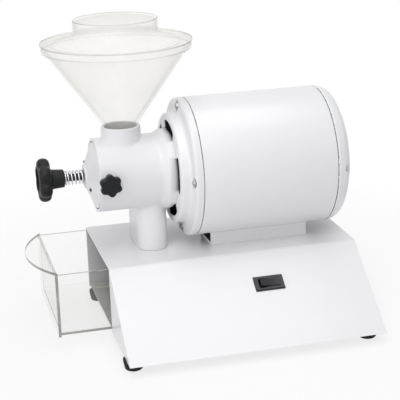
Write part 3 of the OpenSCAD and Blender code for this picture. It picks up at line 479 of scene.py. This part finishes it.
def cell_points(value, sign):
    """Tells which cells of a grid the surface passes, and the middle of its crossings in each."""
    cells = tuple(n - 1 for n in value.shape)
    total, count = np.zeros(cells + (3,)), np.zeros(cells)
    corner = np.stack(np.meshgrid(*[np.arange(n) for n in cells], indexing="ij"), -1).astype(float)
    for axis in range(3):
        others = [a for a in range(3) if a != axis]
        for da, db in ((0, 0), (0, 1), (1, 0), (1, 1)):
            start = [0, 0, 0]
            start[others[0]], start[others[1]] = da, db
            end = list(start)
            end[axis] = 1
            cut_a = tuple(slice(start[i], start[i] + cells[i]) for i in range(3))
            cut_b = tuple(slice(end[i], end[i] + cells[i]) for i in range(3))
            crossing = sign[cut_a] != sign[cut_b]
            va, vb = value[cut_a][crossing], value[cut_b][crossing]
            where = corner[crossing] + np.array(start)
            where[:, axis] += va / (va - vb)
            total[crossing] += where
            count[crossing] += 1
    active = count > 0
    return active, total[active] / count[active][:, None]


def cell_quads(sign, index):
    """Lays a quad between the four cells about each line of a grid that crosses the surface."""
    faces = []
    for axis in range(3):
        b, c = (axis + 1) % 3, (axis + 2) % 3
        lower = [slice(1, -1)] * 3
        lower[axis] = slice(0, -1)
        upper = list(lower)
        upper[axis] = slice(1, None)
        s0, s1 = sign[tuple(lower)], sign[tuple(upper)]
        at = np.argwhere(s0 != s1)
        flip = s0[s0 != s1]
        at[:, b] += 1
        at[:, c] += 1
        ring = []
        for db, dc in ((-1, -1), (0, -1), (0, 0), (-1, 0)):
            spot = at.copy()
            spot[:, b] += db
            spot[:, c] += dc
            ring.append(index[tuple(spot.T)])
        quads = np.stack(ring, 1)
        quads[~flip] = quads[~flip][:, ::-1]
        faces.append(quads)
    return np.concatenate(faces)


def slope(form, points):
    """How fast a form grows along x, y and z."""
    rises = [form(points + way) - form(points - way) for way in SLOPE_STEP * np.eye(3)]
    return np.stack(rises, -1) / (2 * SLOPE_STEP)


def skin(form, low, high, step):
    """Points, quads and normals of a form's surface."""
    axes = [np.arange(a - 2 * step, b + 2.5 * step, step) for a, b in zip(low, high)]
    grid = np.stack(np.meshgrid(*axes, indexing="ij"), -1).reshape(-1, 3)
    parts = np.array_split(grid, max(1, len(grid) // GRID_PART))
    value = np.concatenate([form(part) for part in parts]).reshape([len(a) for a in axes])
    sign = value < 0
    active, places = cell_points(value, sign)
    index = np.full(active.shape, -1)
    index[active] = np.arange(active.sum())
    points = places * step + np.array([a[0] for a in axes])
    for _ in range(DRAWS):
        rise = slope(form, points)
        move = form(points)[:, None] * rise / np.maximum((rise ** 2).sum(1), 0.05)[:, None]
        length = np.linalg.norm(move, axis=1, keepdims=True)
        points = points - move * np.minimum(1, 0.5 * step / np.maximum(length, 1e-9))
    rise = slope(form, points)
    normals = rise / np.maximum(np.linalg.norm(rise, axis=1, keepdims=True), 1e-9)
    return points, cell_quads(sign, index), normals


def cast(name, form, room, step, look, body, nodes, shaded=None):
    """Makes a casting in a room, given by two corners; shaded picks the places that get a near-black painted
    shade.
    """
    points, faces, normals = skin(form, *room, step)
    mesh = bpy.data.meshes.new(name)
    mesh.from_pydata(((points - np.array(ORIGIN)) * MM).tolist(), [], faces.tolist())
    obj = settle(name, mesh, look, body, nodes, sharp=None)
    mesh.normals_split_custom_set_from_vertices(normals.tolist())
    if shaded:
        mesh.materials.append(MATERIALS["cast_painted_shade"])
        mesh.polygons.foreach_set("material_index", shaded(points[faces].mean(1)).astype(int))
    return obj


def about_motor(start, end, half):
    """A room along the motor's line."""
    return (start, AXIS_Y - half, AXIS_Z - half), (end, AXIS_Y + half, AXIS_Z + half)


def polar(p):
    """Radius about the motor's line, place along it, and degrees from below towards the back."""
    y, z = p[:, 1] - AXIS_Y, p[:, 2] - AXIS_Z
    return np.hypot(y, z), p[:, 0], np.degrees(np.arctan2(y, -z))


# Grinder housing, with a bell that is scooped out in front of the motor's cooling windows

TUBE_R, BELL_R, BELL_END = 40.6, 44.5, BELL_X - 0.1
FLARE_X, FLARE_END = 69, 75.8
NECK_TOP, NECK_FOOT, NECK_TOP_R, NECK_FOOT_R = RIM_Z - AXIS_Z, -30, 21.5, 23.8
CHUTE_X, CHUTE_W, CHUTE_FRONT, CHUTE_BACK = 60.5, 34.0, 38.5, 99.5
WINDOW_ANGLES, WINDOW_SPAN = (189, 267, 344, 54, 121), math.radians(48)
WINDOW_OUT, WINDOW_ROUND, WINDOW_DEEP = 53.6, 5.0, 3
SCOOP_X, SCOOP_START, SCOOP_BEND = 77.0, 1.0, 0.06
SEAT_R, SEAT_END = 37.1, 13.8
CHAMBER_R, CHAMBER_END = 34, 74
SHAFT_BORE, SEAL_R, SEAL_START = 11, 16, 79
NECK_BORE, CHUTE_WALL, STUD_BORE, FOOT_GAP = 18, 3, 3.1, 0.05
# Bounds of the tube's inside that gets a painted shade.
SHADED_R, SHADED_START, SHADED_END, SHADED_TOP = TUBE_R - 2, 0.5, BELL_X - 2, AXIS_Z + TUBE_R - 4
HOUSING_ROOM = ((0, 12, TOP_Z), (BELL_X, 109, RIM_Z + 0.5))

TUBE_OUTLINE = rounded([
    (0, 0), (TUBE_R, 0, 0.9), (TUBE_R, FLARE_X, 10), (BELL_R, FLARE_END, 2.0), (BELL_R, BELL_END, 0.5),
    (0, BELL_END)
])
NECK_OUTLINE = rounded([
    (0, NECK_FOOT), (NECK_FOOT_R, NECK_FOOT), (NECK_TOP_R, NECK_TOP, 1.2), (0, NECK_TOP)
])


def cooling_windows(radius, angle):
    """The form of the windows between the bell and the hub ring, with rounded outer corners."""
    turn = np.min([np.abs((angle - centre + 180) % 360 - 180) for centre in WINDOW_ANGLES], 0)
    return trim((np.radians(turn) - WINDOW_SPAN / 2) * radius, radius - WINDOW_OUT, WINDOW_ROUND)


def chute_form(p, inset):
    """The upright chute with its round front, drawn in by an inset."""
    x, y = p[:, 0] - CHUTE_X, p[:, 1]
    nose = np.hypot(x, np.minimum(y - CHUTE_FRONT - CHUTE_W / 2, 0)) - (CHUTE_W / 2 - inset)
    return trim(nose, y - (CHUTE_BACK - inset), 2.0)


def housing_form(p):
    """Tube, neck and chute in one casting, with the scooped bell and the bores."""
    radius, along, angle = polar(p)
    height = p[:, 2] - AXIS_Z
    off_neck = np.hypot(p[:, 0] - NECK_X, p[:, 1] - AXIS_Y)
    off_stud = np.hypot(p[:, 0] - STAR_X, height)
    tube = turned_form(TUBE_OUTLINE, radius, along)
    neck = turned_form(NECK_OUTLINE, off_neck, height)
    chute = np.maximum(chute_form(p, 0), height)
    body = fillet(fillet(tube, neck, 2.0), chute, 2.5)
    body = trim(body, along - BELL_END, 0.6)
    body = trim(body, TOP_Z + FOOT_GAP - p[:, 2], 0.8)
    scoop = BELL_R + SCOOP_START - SCOOP_BEND * np.maximum(along - SCOOP_X, 0) ** 2 - radius
    scoop = np.maximum(scoop, SCOOP_X - along)
    body = trim(body, -np.maximum(scoop, cooling_windows(radius, angle)), 2.0)
    bores = [
        np.maximum(radius - SEAT_R, along - SEAT_END),
        np.maximum(radius - CHAMBER_R, along - CHAMBER_END),
        radius - SHAFT_BORE,
        np.maximum(radius - SEAL_R, SEAL_START - along),
        np.maximum(off_neck - NECK_BORE, -height),
        np.maximum(np.maximum(chute_form(p, CHUTE_WALL), along - CHAMBER_END), height),
        np.maximum(off_stud - STUD_BORE, p[:, 1] - AXIS_Y),
    ]
    return trim(body, -np.min(bores, 0), 1.0)


def shaded_mouth(p):
    """Picks the inside of the tube, below the neck, which gets a painted shade."""
    radius, along, _ = polar(p)
    return (radius < SHADED_R) & (along > SHADED_START) & (along < SHADED_END) & (p[:, 2] < SHADED_TOP)


cast("grinder_housing", housing_form, HOUSING_ROOM, 1.0, "cast_paint", "machine", ("grinder_body",),
     shaded_mouth)


# Motor

HUB_X, HUB_R, SOCKET_R = BELL_X - 2.5, 61.0, 44.9
SPIGOT_R, SPIGOT_BORE, SPIGOT_T, BARREL_BORE = 74.4, 70.5, 4, 74.5
BEARING_R, BEARING_BOSS, SHAFT_ROOM = 20.05, 25, 12
SEAM_FRONT, SEAM_REAR, SEAM_EDGE = 0.5, 0.6, 0.2
# Within this radius and behind this place the front shield's inside gets a painted shade.
HUB_SHADE_R, HUB_SHADE_X = HUB_R - 3.4, HUB_X + 1.0
NUT_ROOM, ROD_BORE = 1.2, 2.2
MOTOR_ROOM = MOTOR_R + 1.5

SHIELD_OUTLINE = rounded([
    (MOTOR_R, SHELL_X, 0.5), (MOTOR_R, SHELL_X - 8.8, 3.0), (HUB_R + 0.8, SHELL_X - 10.2, 3.5),
    (HUB_R, HUB_X, 3.0), (SOCKET_R, HUB_X, 0.8), (SOCKET_R, BELL_X), (SHAFT_ROOM, BELL_X),
    (SHAFT_ROOM, BELL_X + 4), (BEARING_R, BELL_X + 4), (BEARING_R, BELL_X + 17),
    (BEARING_BOSS, BELL_X + 17, 0.6), (BEARING_BOSS, BELL_X + 7, 2), (SOCKET_R + 3, BELL_X + 7),
    (SOCKET_R + 3, BELL_X + 1.5, 1), (HUB_R - 4, BELL_X + 1.5, 1), (HUB_R - 4, BELL_X + 9, 2),
    (HUB_R + 2, SHELL_X - 5, 2), (SPIGOT_BORE, SHELL_X - 3, 2), (SPIGOT_BORE, SHELL_X + SPIGOT_T),
    (SPIGOT_R, SHELL_X + SPIGOT_T, 0.4), (SPIGOT_R, SHELL_X)
], steps=5)
DOME_OUTLINE = rounded([
    (0, SHELL_END + 25), (25, SHELL_END + 24.3, 30), (61, SHELL_END + 18.6, 30), (74.5, SHELL_END + 12, 11),
    (MOTOR_R, SHELL_END + 2.5, 5), (MOTOR_R, SHELL_END, 0.5), (SPIGOT_R, SHELL_END),
    (SPIGOT_R, SHELL_END - SPIGOT_T), (SPIGOT_BORE, SHELL_END - SPIGOT_T), (SPIGOT_BORE, SHELL_END + 2.5, 3),
    (61, SHELL_END + 14.5, 5), (BEARING_BOSS, SHELL_END + 14.5, 2), (BEARING_BOSS, SHELL_END),
    (BEARING_R, SHELL_END), (BEARING_R, SHELL_END + 14), (SHAFT_ROOM - 0.5, SHELL_END + 14),
    (SHAFT_ROOM - 0.5, SHELL_END + 16), (0, SHELL_END + 16)
], steps=8)


def rod_holes(body, p, beyond):
    """Drills a casting for the tie rods and spot-faces it for their nuts, where beyond is negative."""
    for a in ROD_ANGLES:
        c, s = math.cos(math.radians(a)), math.sin(math.radians(a))
        off = np.hypot(p[:, 2] - AXIS_Z + ROD_CIRCLE * c, p[:, 1] - AXIS_Y - ROD_CIRCLE * s)
        body = trim(body, -np.maximum(off - NUT_R - NUT_ROOM, beyond), 1.2)
        body = trim(body, -(off - ROD_BORE), 0.5)
    return body


def shield_form(p):
    """The front shield, with its windows and rod holes."""
    radius, along, angle = polar(p)
    body = turned_form(SHIELD_OUTLINE, radius, along)
    body = trim(body, -np.maximum(cooling_windows(radius, angle), along - (BELL_X + WINDOW_DEEP)), 0.8)
    return rod_holes(body, p, along - SPOT_FRONT)


def dome_form(p):
    """The domed rear shield, with its rod holes."""
    radius, along, _ = polar(p)
    return rod_holes(turned_form(DOME_OUTLINE, radius, along), p, SPOT_REAR - along)


def shaded_windows(p):
    """Picks the front shield's inside and its joint with the barrel, for a painted shade that makes the
    windows and the seam dark.
    """
    radius, along, _ = polar(p)
    return (radius < HUB_SHADE_R) & (along > HUB_SHADE_X) | (along > SHELL_X - SEAM_EDGE)


def shaded_joint(p):
    """Picks the rear shield's joint with the barrel, for a painted shade that makes the seam dark."""
    return p[:, 0] < SHELL_END + SEAM_EDGE


cast("front_shield", shield_form, about_motor(SHELL_X - 22, SHELL_X + 5, MOTOR_ROOM), 1.1, "cast_paint",
     "machine", ("front_end_shield",), shaded_windows)
cast("rear_shield", dome_form, about_motor(SHELL_END - 5, SHELL_END + 25, MOTOR_ROOM), 1.15, "cast_paint",
     "machine", ("rear_end_shield",), shaded_joint)
turned("motor_barrel", [
    (MOTOR_R, SHELL_X + SEAM_FRONT, 0.4), (MOTOR_R, SHELL_END - SEAM_REAR, 0.4),
    (BARREL_BORE, SHELL_END - SEAM_REAR), (BARREL_BORE, SHELL_X + SEAM_FRONT)
], MOTOR_LINE, "barrel_paint", "machine", ("motor_shell",), steps=256)

ROD_R, NUT_T, NUT_SOFT, NUT_DOME_R, NUT_DOME_SINK = 2.0, 3.2, 0.35, 3.1, 0.3
FRONT_DOME, REAR_DOME = 0.6, 0.35


def make_tie_rods():
    """Tie rods with a domed nut on both ends."""
    work = bmesh.new()
    middle = Matrix.Translation(((SPOT_FRONT + SPOT_REAR) / 2, AXIS_Y, AXIS_Z - ROD_CIRCLE))
    lying = middle @ Matrix.Rotation(math.pi / 2, 4, "Y")
    bmesh.ops.create_cone(work, cap_ends=True, segments=32, radius1=ROD_R, radius2=ROD_R,
                          depth=SPOT_REAR - SPOT_FRONT + NUT_T, matrix=lying)
    for face, way, rise in ((SPOT_FRONT, -1, FRONT_DOME), (SPOT_REAR, 1, REAR_DOME)):
        foot = Matrix.Translation((face, AXIS_Y, AXIS_Z - ROD_CIRCLE))
        stand = foot @ Matrix.Rotation(way * math.pi / 2, 4, "Y")
        centre = stand @ Matrix.Translation((0, 0, NUT_T / 2))
        hexagon = bmesh.ops.create_cone(work, cap_ends=True, segments=6, radius1=NUT_R, radius2=NUT_R,
                                        depth=NUT_T, matrix=centre)["verts"]
        soften(work, edges_at(hexagon), NUT_SOFT)
        dome = stand @ Matrix.Translation((0, 0, NUT_T - NUT_DOME_SINK)) @ Matrix.Scale(rise, 4, (0, 0, 1))
        bmesh.ops.create_uvsphere(work, u_segments=24, v_segments=16, radius=NUT_DOME_R, matrix=dome)
    repeat_round_motor(work, len(ROD_ANGLES))
    made("nutted_rods", work, "nut_steel", "machine", ("tie_nuts", "tie_rods"))


make_tie_rods()


# Front cover, spring and knobs

COVER_HOLE, BOSS_R, SKIRT_R, SKIRT_BORE, SKIRT_END = 4.06, 13.0, 36.3, 34.2, 13.6
turned("cone_cover", [
    (COVER_HOLE, COVER_FACE), (BOSS_R, COVER_FACE, 0.9), (BOSS_R, -10.1), (BOSS_R + 1.5, -9.5, 0.8),
    (33.8, -1.0, 1.2), (SKIRT_R, 0.0, 0.6), (SKIRT_R, SKIRT_END), (SKIRT_BORE, SKIRT_END),
    (SKIRT_BORE, 3.0, 1.0), (BOSS_R + 1.5, -5.5), (BOSS_R, 2.0), (COVER_HOLE, 2.0)
], MOTOR_LINE, "cast_paint", "cover", ("front_cover",))

SCREW_FACE, SCREW_CIRCLE, SCREW_TURN, SCREW_COUNT = -7.1, 20.0, 125.0, 2
SCREW_R, SCREW_T, SCREW_PROUD, SCREW_TAPER, SCREW_SOFT = 1.9, 1.8, 0.4, 0.8, 0.25


def make_cover_screws():
    """Round-headed screws in the cover, one on each side of the boss."""
    work = bmesh.new()
    foot = Vector((SCREW_FACE - SCREW_PROUD, AXIS_Y, AXIS_Z - SCREW_CIRCLE))
    stand = Matrix.Translation(foot) @ Matrix.Rotation(-math.pi / 2, 4, "Y")
    head = bmesh.ops.create_cone(work, cap_ends=True, segments=24, radius1=SCREW_R,
                                 radius2=SCREW_R * SCREW_TAPER, depth=SCREW_T, matrix=stand)["verts"]
    soften(work, edges_at(head), SCREW_SOFT, clamp=True)
    turn = Matrix.Rotation(math.radians(SCREW_TURN), 3, "X")
    bmesh.ops.rotate(work, cent=MOTOR_LINE[0], matrix=turn, verts=work.verts)
    repeat_round_motor(work, SCREW_COUNT)
    made("cover_screws", work, "dark_steel", "cover", ("guide_screws",))


make_cover_screws()

SPRING_R, WIRE_D, WIRE_SIDES, TURN_STEPS = 7.4, 1.7, 14, 48
END_TURNS, FREE_TURNS, CLOSE_PITCH = 0.75, 4.5, WIRE_D * 1.04


def wind_spring():
    """A coil of round wire whose end turns lie close, wound from the knob's hub to the cover."""
    work = bmesh.new()
    foot = Matrix.Translation((HUB_FACE + WIRE_D / 2, AXIS_Y, AXIS_Z + SPRING_R))
    start = foot @ Matrix.Rotation(math.pi / 2, 4, "X")
    ring = bmesh.ops.create_circle(work, segments=WIRE_SIDES, radius=WIRE_D / 2, matrix=start)["verts"]
    last = ring + work.edges[:]
    free_pitch = (COVER_FACE - HUB_FACE - WIRE_D - 2 * END_TURNS * CLOSE_PITCH) / FREE_TURNS
    for turns, pitch in ((END_TURNS, CLOSE_PITCH), (FREE_TURNS, free_pitch), (END_TURNS, CLOSE_PITCH)):
        wound = bmesh.ops.spin(work, geom=last, cent=MOTOR_LINE[0], axis=MOTOR_LINE[1],
                               angle=turns * 2 * math.pi, dvec=(pitch / TURN_STEPS, 0, 0),
                               steps=round(turns * TURN_STEPS))
        last = wound["geom_last"]
    bmesh.ops.holes_fill(work, edges=work.edges, sides=0)
    spring = made("coil_spring", work, "spring_steel", None, ("adjuster_spring",))
    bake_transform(spring)


wind_spring()


def lobed(x, y, count, reach, lobe, core, k, turn):
    """A knob's outline: round lobes that flow into a core."""
    form = np.hypot(x, y) - core
    for i in range(count):
        a = 2 * math.pi * i / count + math.radians(turn)
        tip = np.hypot(x - (reach - lobe) * math.cos(a), y - (reach - lobe) * math.sin(a)) - lobe
        form = fillet(form, tip, k)
    return form


HEAD_FACE, KNOB_END, HEAD_ROUND = -48.0, -62.2, 7.4
RECESS_R, RECESS_DEEP, KNOB_BORE = 14.0, 5.0, 4.1
KNOB_HUB_R, HUB_NARROWS, HUB_ROOT = 11.0, 1.2, KNOB_END + 6


def knob_form(p):
    """The adjusting knob: a lobed head with a recessed face, on a tapered hub."""
    radius, along, _ = polar(p)
    edge = lobed(p[:, 2] - AXIS_Z, p[:, 1] - AXIS_Y, count=6, reach=24.0, lobe=10.6, core=19.6, k=2.2,
                 turn=5.0)
    head = trim(edge, slab(along, KNOB_END, HEAD_FACE), HEAD_ROUND)
    head = trim(head, -trim(radius - RECESS_R, along - (KNOB_END + RECESS_DEEP), 1.5), 0.8)
    taper = KNOB_HUB_R - HUB_NARROWS * (along - HEAD_FACE) / (HUB_FACE - HEAD_FACE)
    hub = trim(radius - taper, np.maximum(along - HUB_FACE, HUB_ROOT - along), 0.8)
    body = trim(fillet(head, hub, 3.0), along - HUB_FACE, 0.5)
    return trim(body, -(radius - KNOB_BORE), 0.4)


cast("lobed_knob", knob_form, about_motor(KNOB_END - 2.8, HUB_FACE + 0.5, 24.5), 0.6, "black_plastic",
     "adjuster", ("adjusting_knob",))

GRIP_START, GRIP_END, GRIP_ROUND, STEM_R, STEM_END = 1.5, 10.0, 2.6, 7.2, 5.0
STAR_ROOM = ((-3.5, 8.5, AXIS_Z - 13.5), (23, 20, AXIS_Z + 13.5))


def star_form(p):
    """The clamp's star knob on its short stem."""
    x, z, out = p[:, 0] - STAR_X, p[:, 2] - AXIS_Z, STAR_BACK - p[:, 1]
    edge = lobed(x, z, count=6, reach=12.5, lobe=3.9, core=10.2, k=1.6, turn=35.0)
    body = trim(edge, slab(out, GRIP_START, GRIP_END), GRIP_ROUND)
    stem = np.maximum(np.hypot(x, z) - STEM_R, slab(out, 0, STEM_END))
    return fillet(body, stem, 1.0)


cast("star_grip", star_form, STAR_ROOM, 0.42, "black_plastic", "clamp", ("clamp_knob",))


# Hopper and lid

LID_GAP = 0.3
LID_Z = HOPPER_TOP + LID_GAP
STEP_Z, BAND_Z = 305.0, 312.0
SPOUT_R, SPOUT_END, WALL, RIM_R, CONE_R = 17.6, RIM_Z - 12, 2.0, 80.5, 72.8
# A band at the funnel's rim gets the painted shade of the rim lines.
HOPPER_SHADE_BANDS = [(RIM_R - 0.5, RIM_R + 1, BAND_Z - 0.8, BAND_Z + 0.2)]
turned("hopper_funnel", [
    (SPOUT_R, SPOUT_END, 0.4), (SPOUT_R, RIM_Z, 2), (CONE_R, STEP_Z, 2.0), (RIM_R, BAND_Z - 0.5, 1.2),
    (RIM_R, HOPPER_TOP, 0.5), (RIM_R - WALL, HOPPER_TOP, 0.5), (RIM_R - WALL, BAND_Z + 0.6, 0.8),
    (CONE_R - 1, STEP_Z + 1.6, 1.5), (SPOUT_R - WALL, RIM_Z + 1, 2), (SPOUT_R - WALL, SPOUT_END, 0.4)
], NECK_LINE, "hopper_plastic", "hopper_body", ("hopper",), steps=224,
   second="hopper_rim_shade", bands=HOPPER_SHADE_BANDS)

CAP_R, CAP_Z, CAP_TOP, LIP_R, EDGE_R = 45.5, LID_Z + 10, LID_Z + 25, CONE_R - 3, RIM_R + 1
# Bands at the lid's edge and at the cap's rim get the same painted shade.
LID_SHADE_BANDS = [
    (EDGE_R - 0.5, EDGE_R + 1, LID_Z - 1, LID_Z + 1.3),
    (CAP_R - 1.0, CAP_R + 1, CAP_TOP - 1.0, CAP_TOP + 1),
]
turned("clear_lid", [
    (0, CAP_TOP), (CAP_R, CAP_TOP, 1.2), (CAP_R, CAP_Z + 0.6, 3.0), (LIP_R + 2, LID_Z + 3, 3.5),
    (EDGE_R, LID_Z + 2, 0.9), (EDGE_R, LID_Z, 0.5), (LIP_R, LID_Z, 0.4), (LIP_R, LID_Z - 1.5, 0.4),
    (LIP_R - WALL, LID_Z - 1.5, 0.4), (LIP_R - WALL, LID_Z + 1, 1.0),
    (CAP_R - WALL + 0.8, CAP_Z - 1.2, 2.0), (CAP_R - WALL, CAP_TOP - WALL, 1.5), (0, CAP_TOP - WALL)
], NECK_LINE, "hopper_plastic", "lid", ("hopper_lid",), steps=224,
   second="hopper_rim_shade", bands=LID_SHADE_BANDS)


# Drawer, base, cradle, switch and fasteners

SHEETS = {
    "drawer_floor": Z, "drawer_near_wall": Y, "drawer_far_wall": Y, "drawer_front": X, "drawer_handle": Z,
}


def sheet_edge_seen(thin):
    """Picks a sheet's narrow sides that face up, to the front or left, which get the painted shade and light
    of the edges; thin is the way through it.
    """
    def picks(face):
        narrow = abs(face.normal[thin]) < 0.9
        return narrow and (face.normal.z > 0.7 or face.normal.y < -0.2 or face.normal.x < -0.5)
    return picks


def faces_motor(face):
    """Picks the cradle's inside, which looks at the motor and gets a near-black painted shade."""
    middle = TO_ROW @ MOTOR_LINE[0]
    out = face.calc_center_median() - middle
    return out.y * face.normal.y + out.z * face.normal.z < 0 and abs(face.normal.x) < 0.5


def above_bend(point):
    """Picks the points where the planes of the base's top and slope would meet."""
    return point.z > TOP_Z - 0.1 and point.y < CORNER_Y


for node, thin in SHEETS.items():
    dress(node, "drawer_sheet", "drawer", 0.2, angle=45, second="sheet_edge_painted_shade",
          picks=sheet_edge_seen(thin))
dress("drawer_back", "drawer_sheet", "drawer", 0.2, angle=45)
dress("base_shell", "sheet_paint", "machine", 0.5, 3, corner=above_bend)
dress("back_panel", "sheet_paint", "machine", 0.3)
dress("motor_cradle", "cradle_painted_light", "machine", 0.4, second="cradle_painted_shade",
      picks=faces_motor)
dress("base_plate", "grey_sheet", "machine")
dress("bay_partition", "grey_sheet", "machine", 0.2)
dress("feet", "foot_rubber", "machine", 0.5, 3)
dress("cord_gland", "black_plastic", "machine", 0.4)
dress("switch_body", "switch_plastic", "machine", 0.35)
dress("switch_rocker", "switch_plastic", "rocker", 0.35)
dress("cradle_bolts", "steel", "machine")

INNER = {
    "drawer_runners": "nylon", "foot_screws": "steel", "base_screws": "steel", "capacitor": "capacitor_case",
    "capacitor_clamp": "steel", "stator_core": "lamination", "stator_windings": "winding",
    "front_bearing": "steel", "rear_bearing": "steel", "shaft_seal": "seal_rubber", "motor_shaft": "steel",
    "rotor_core": "lamination", "cooling_fan": "fan_plastic", "body_bolts": "steel",
    "burr_carrier": "cast_alloy", "fixed_burr": "burr_steel", "burr_screws": "steel",
    "rotating_burr": "burr_steel", "feed_screw": "cast_alloy", "feed_nut": "steel",
    "adjusting_screw": "dark_steel", "screw_clip": "steel", "clamp_stud": "steel",
}
for node, look in INNER.items():
    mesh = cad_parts[node].data
    mesh.materials.clear()
    mesh.materials.append(MATERIALS[look])


# Floor and light, in metres

FLOOR_SIZE, FLOOR_Z, FLOOR_TINT, FLOOR_ROUGH = 6.0, -0.0002, (0.92, 0.92, 0.92, 1), 0.9
SHADE_NEAR, SHADE_FAR, LEAST_WHITE = 0.2, 0.6, 0.78
PLAIN_WHITE, ROOM_LIGHT = (1, 1, 1, 1), 0.27
LAMP_AIM = Vector((0, 0, 0.15))
LAMPS = {
    "key": dict(at=(-0.45, -1.25, 1.7), size=1.2, watts=16),
    "left": dict(at=(-1.8, -0.5, 0.5), size=0.8, watts=6.2),
    "fill": dict(at=(-0.3, -1.8, 0.3), size=0.8, watts=2.6),
    "top": dict(at=(0.1, 0.0, 1.8), size=1.2, watts=10.8),
}


def seen_straight(tree):
    """One where a surface is seen directly, in a mirror or through glass."""
    rays = node_of(tree, "ShaderNodeLightPath").outputs
    straight = maths(tree, "MAXIMUM", rays["Is Camera Ray"], rays["Is Glossy Ray"])
    return maths(tree, "MAXIMUM", straight, rays["Is Transmission Ray"])


def make_floor():
    """A white floor that keeps some of the shadow near the mill."""
    work = bmesh.new()
    bmesh.ops.create_grid(work, x_segments=1, y_segments=1, size=FLOOR_SIZE)
    bmesh.ops.translate(work, vec=(0, 0, FLOOR_Z), verts=work.verts)
    mesh = bpy.data.meshes.new("floor")
    work.to_mesh(mesh)
    work.free()
    floor = bpy.data.objects.new("floor", mesh)
    scene.collection.objects.link(floor)
    material = bpy.data.materials.new("floor")
    material.use_nodes = True
    tree = material.node_tree
    shader = tree.nodes["Principled BSDF"]
    shader.inputs["Base Color"].default_value = FLOOR_TINT
    shader.inputs["Roughness"].default_value = FLOOR_ROUGH
    shader.inputs["Specular IOR Level"].default_value = 0.0
    white = node_of(tree, "ShaderNodeEmission", {"Color": PLAIN_WHITE, "Strength": 1.0})
    coords = node_of(tree, "ShaderNodeTexCoord").outputs["Object"]
    far = node_of(tree, "ShaderNodeVectorMath", {0: coords}, operation="LENGTH").outputs["Value"]
    fade = mapped(tree, far, SHADE_NEAR, SHADE_FAR, LEAST_WHITE, 1.0)
    share = maths(tree, "MULTIPLY", seen_straight(tree), fade)
    mix = node_of(tree, "ShaderNodeMixShader", {0: share, 1: shader.outputs[0], 2: white.outputs[0]})
    tree.links.new(mix.outputs[0], tree.nodes["Material Output"].inputs["Surface"])
    mesh.materials.append(material)


def make_world():
    """A faint even light, seen as plain white."""
    world = bpy.data.worlds.new("studio")
    scene.world = world
    world.use_nodes = True
    tree = world.node_tree
    tree.nodes.clear()
    light = node_of(tree, "ShaderNodeBackground", {"Color": PLAIN_WHITE, "Strength": ROOM_LIGHT})
    white = node_of(tree, "ShaderNodeBackground", {"Color": PLAIN_WHITE, "Strength": 1.0})
    share = seen_straight(tree)
    mix = node_of(tree, "ShaderNodeMixShader", {0: share, 1: light.outputs[0], 2: white.outputs[0]})
    out = node_of(tree, "ShaderNodeOutputWorld")
    tree.links.new(mix.outputs[0], out.inputs["Surface"])


def make_lamp(name, at, size, watts):
    """A square soft box that looks at the mill."""
    data = bpy.data.lights.new(name, "AREA")
    data.shape = "SQUARE"
    data.size = size
    data.energy = watts
    lamp = bpy.data.objects.new(name, data)
    lamp.location = at
    lamp.rotation_euler = (LAMP_AIM - Vector(at)).to_track_quat("-Z", "Y").to_euler()
    scene.collection.objects.link(lamp)


make_floor()
make_world()
for name, lamp in LAMPS.items():
    make_lamp(name, **lamp)
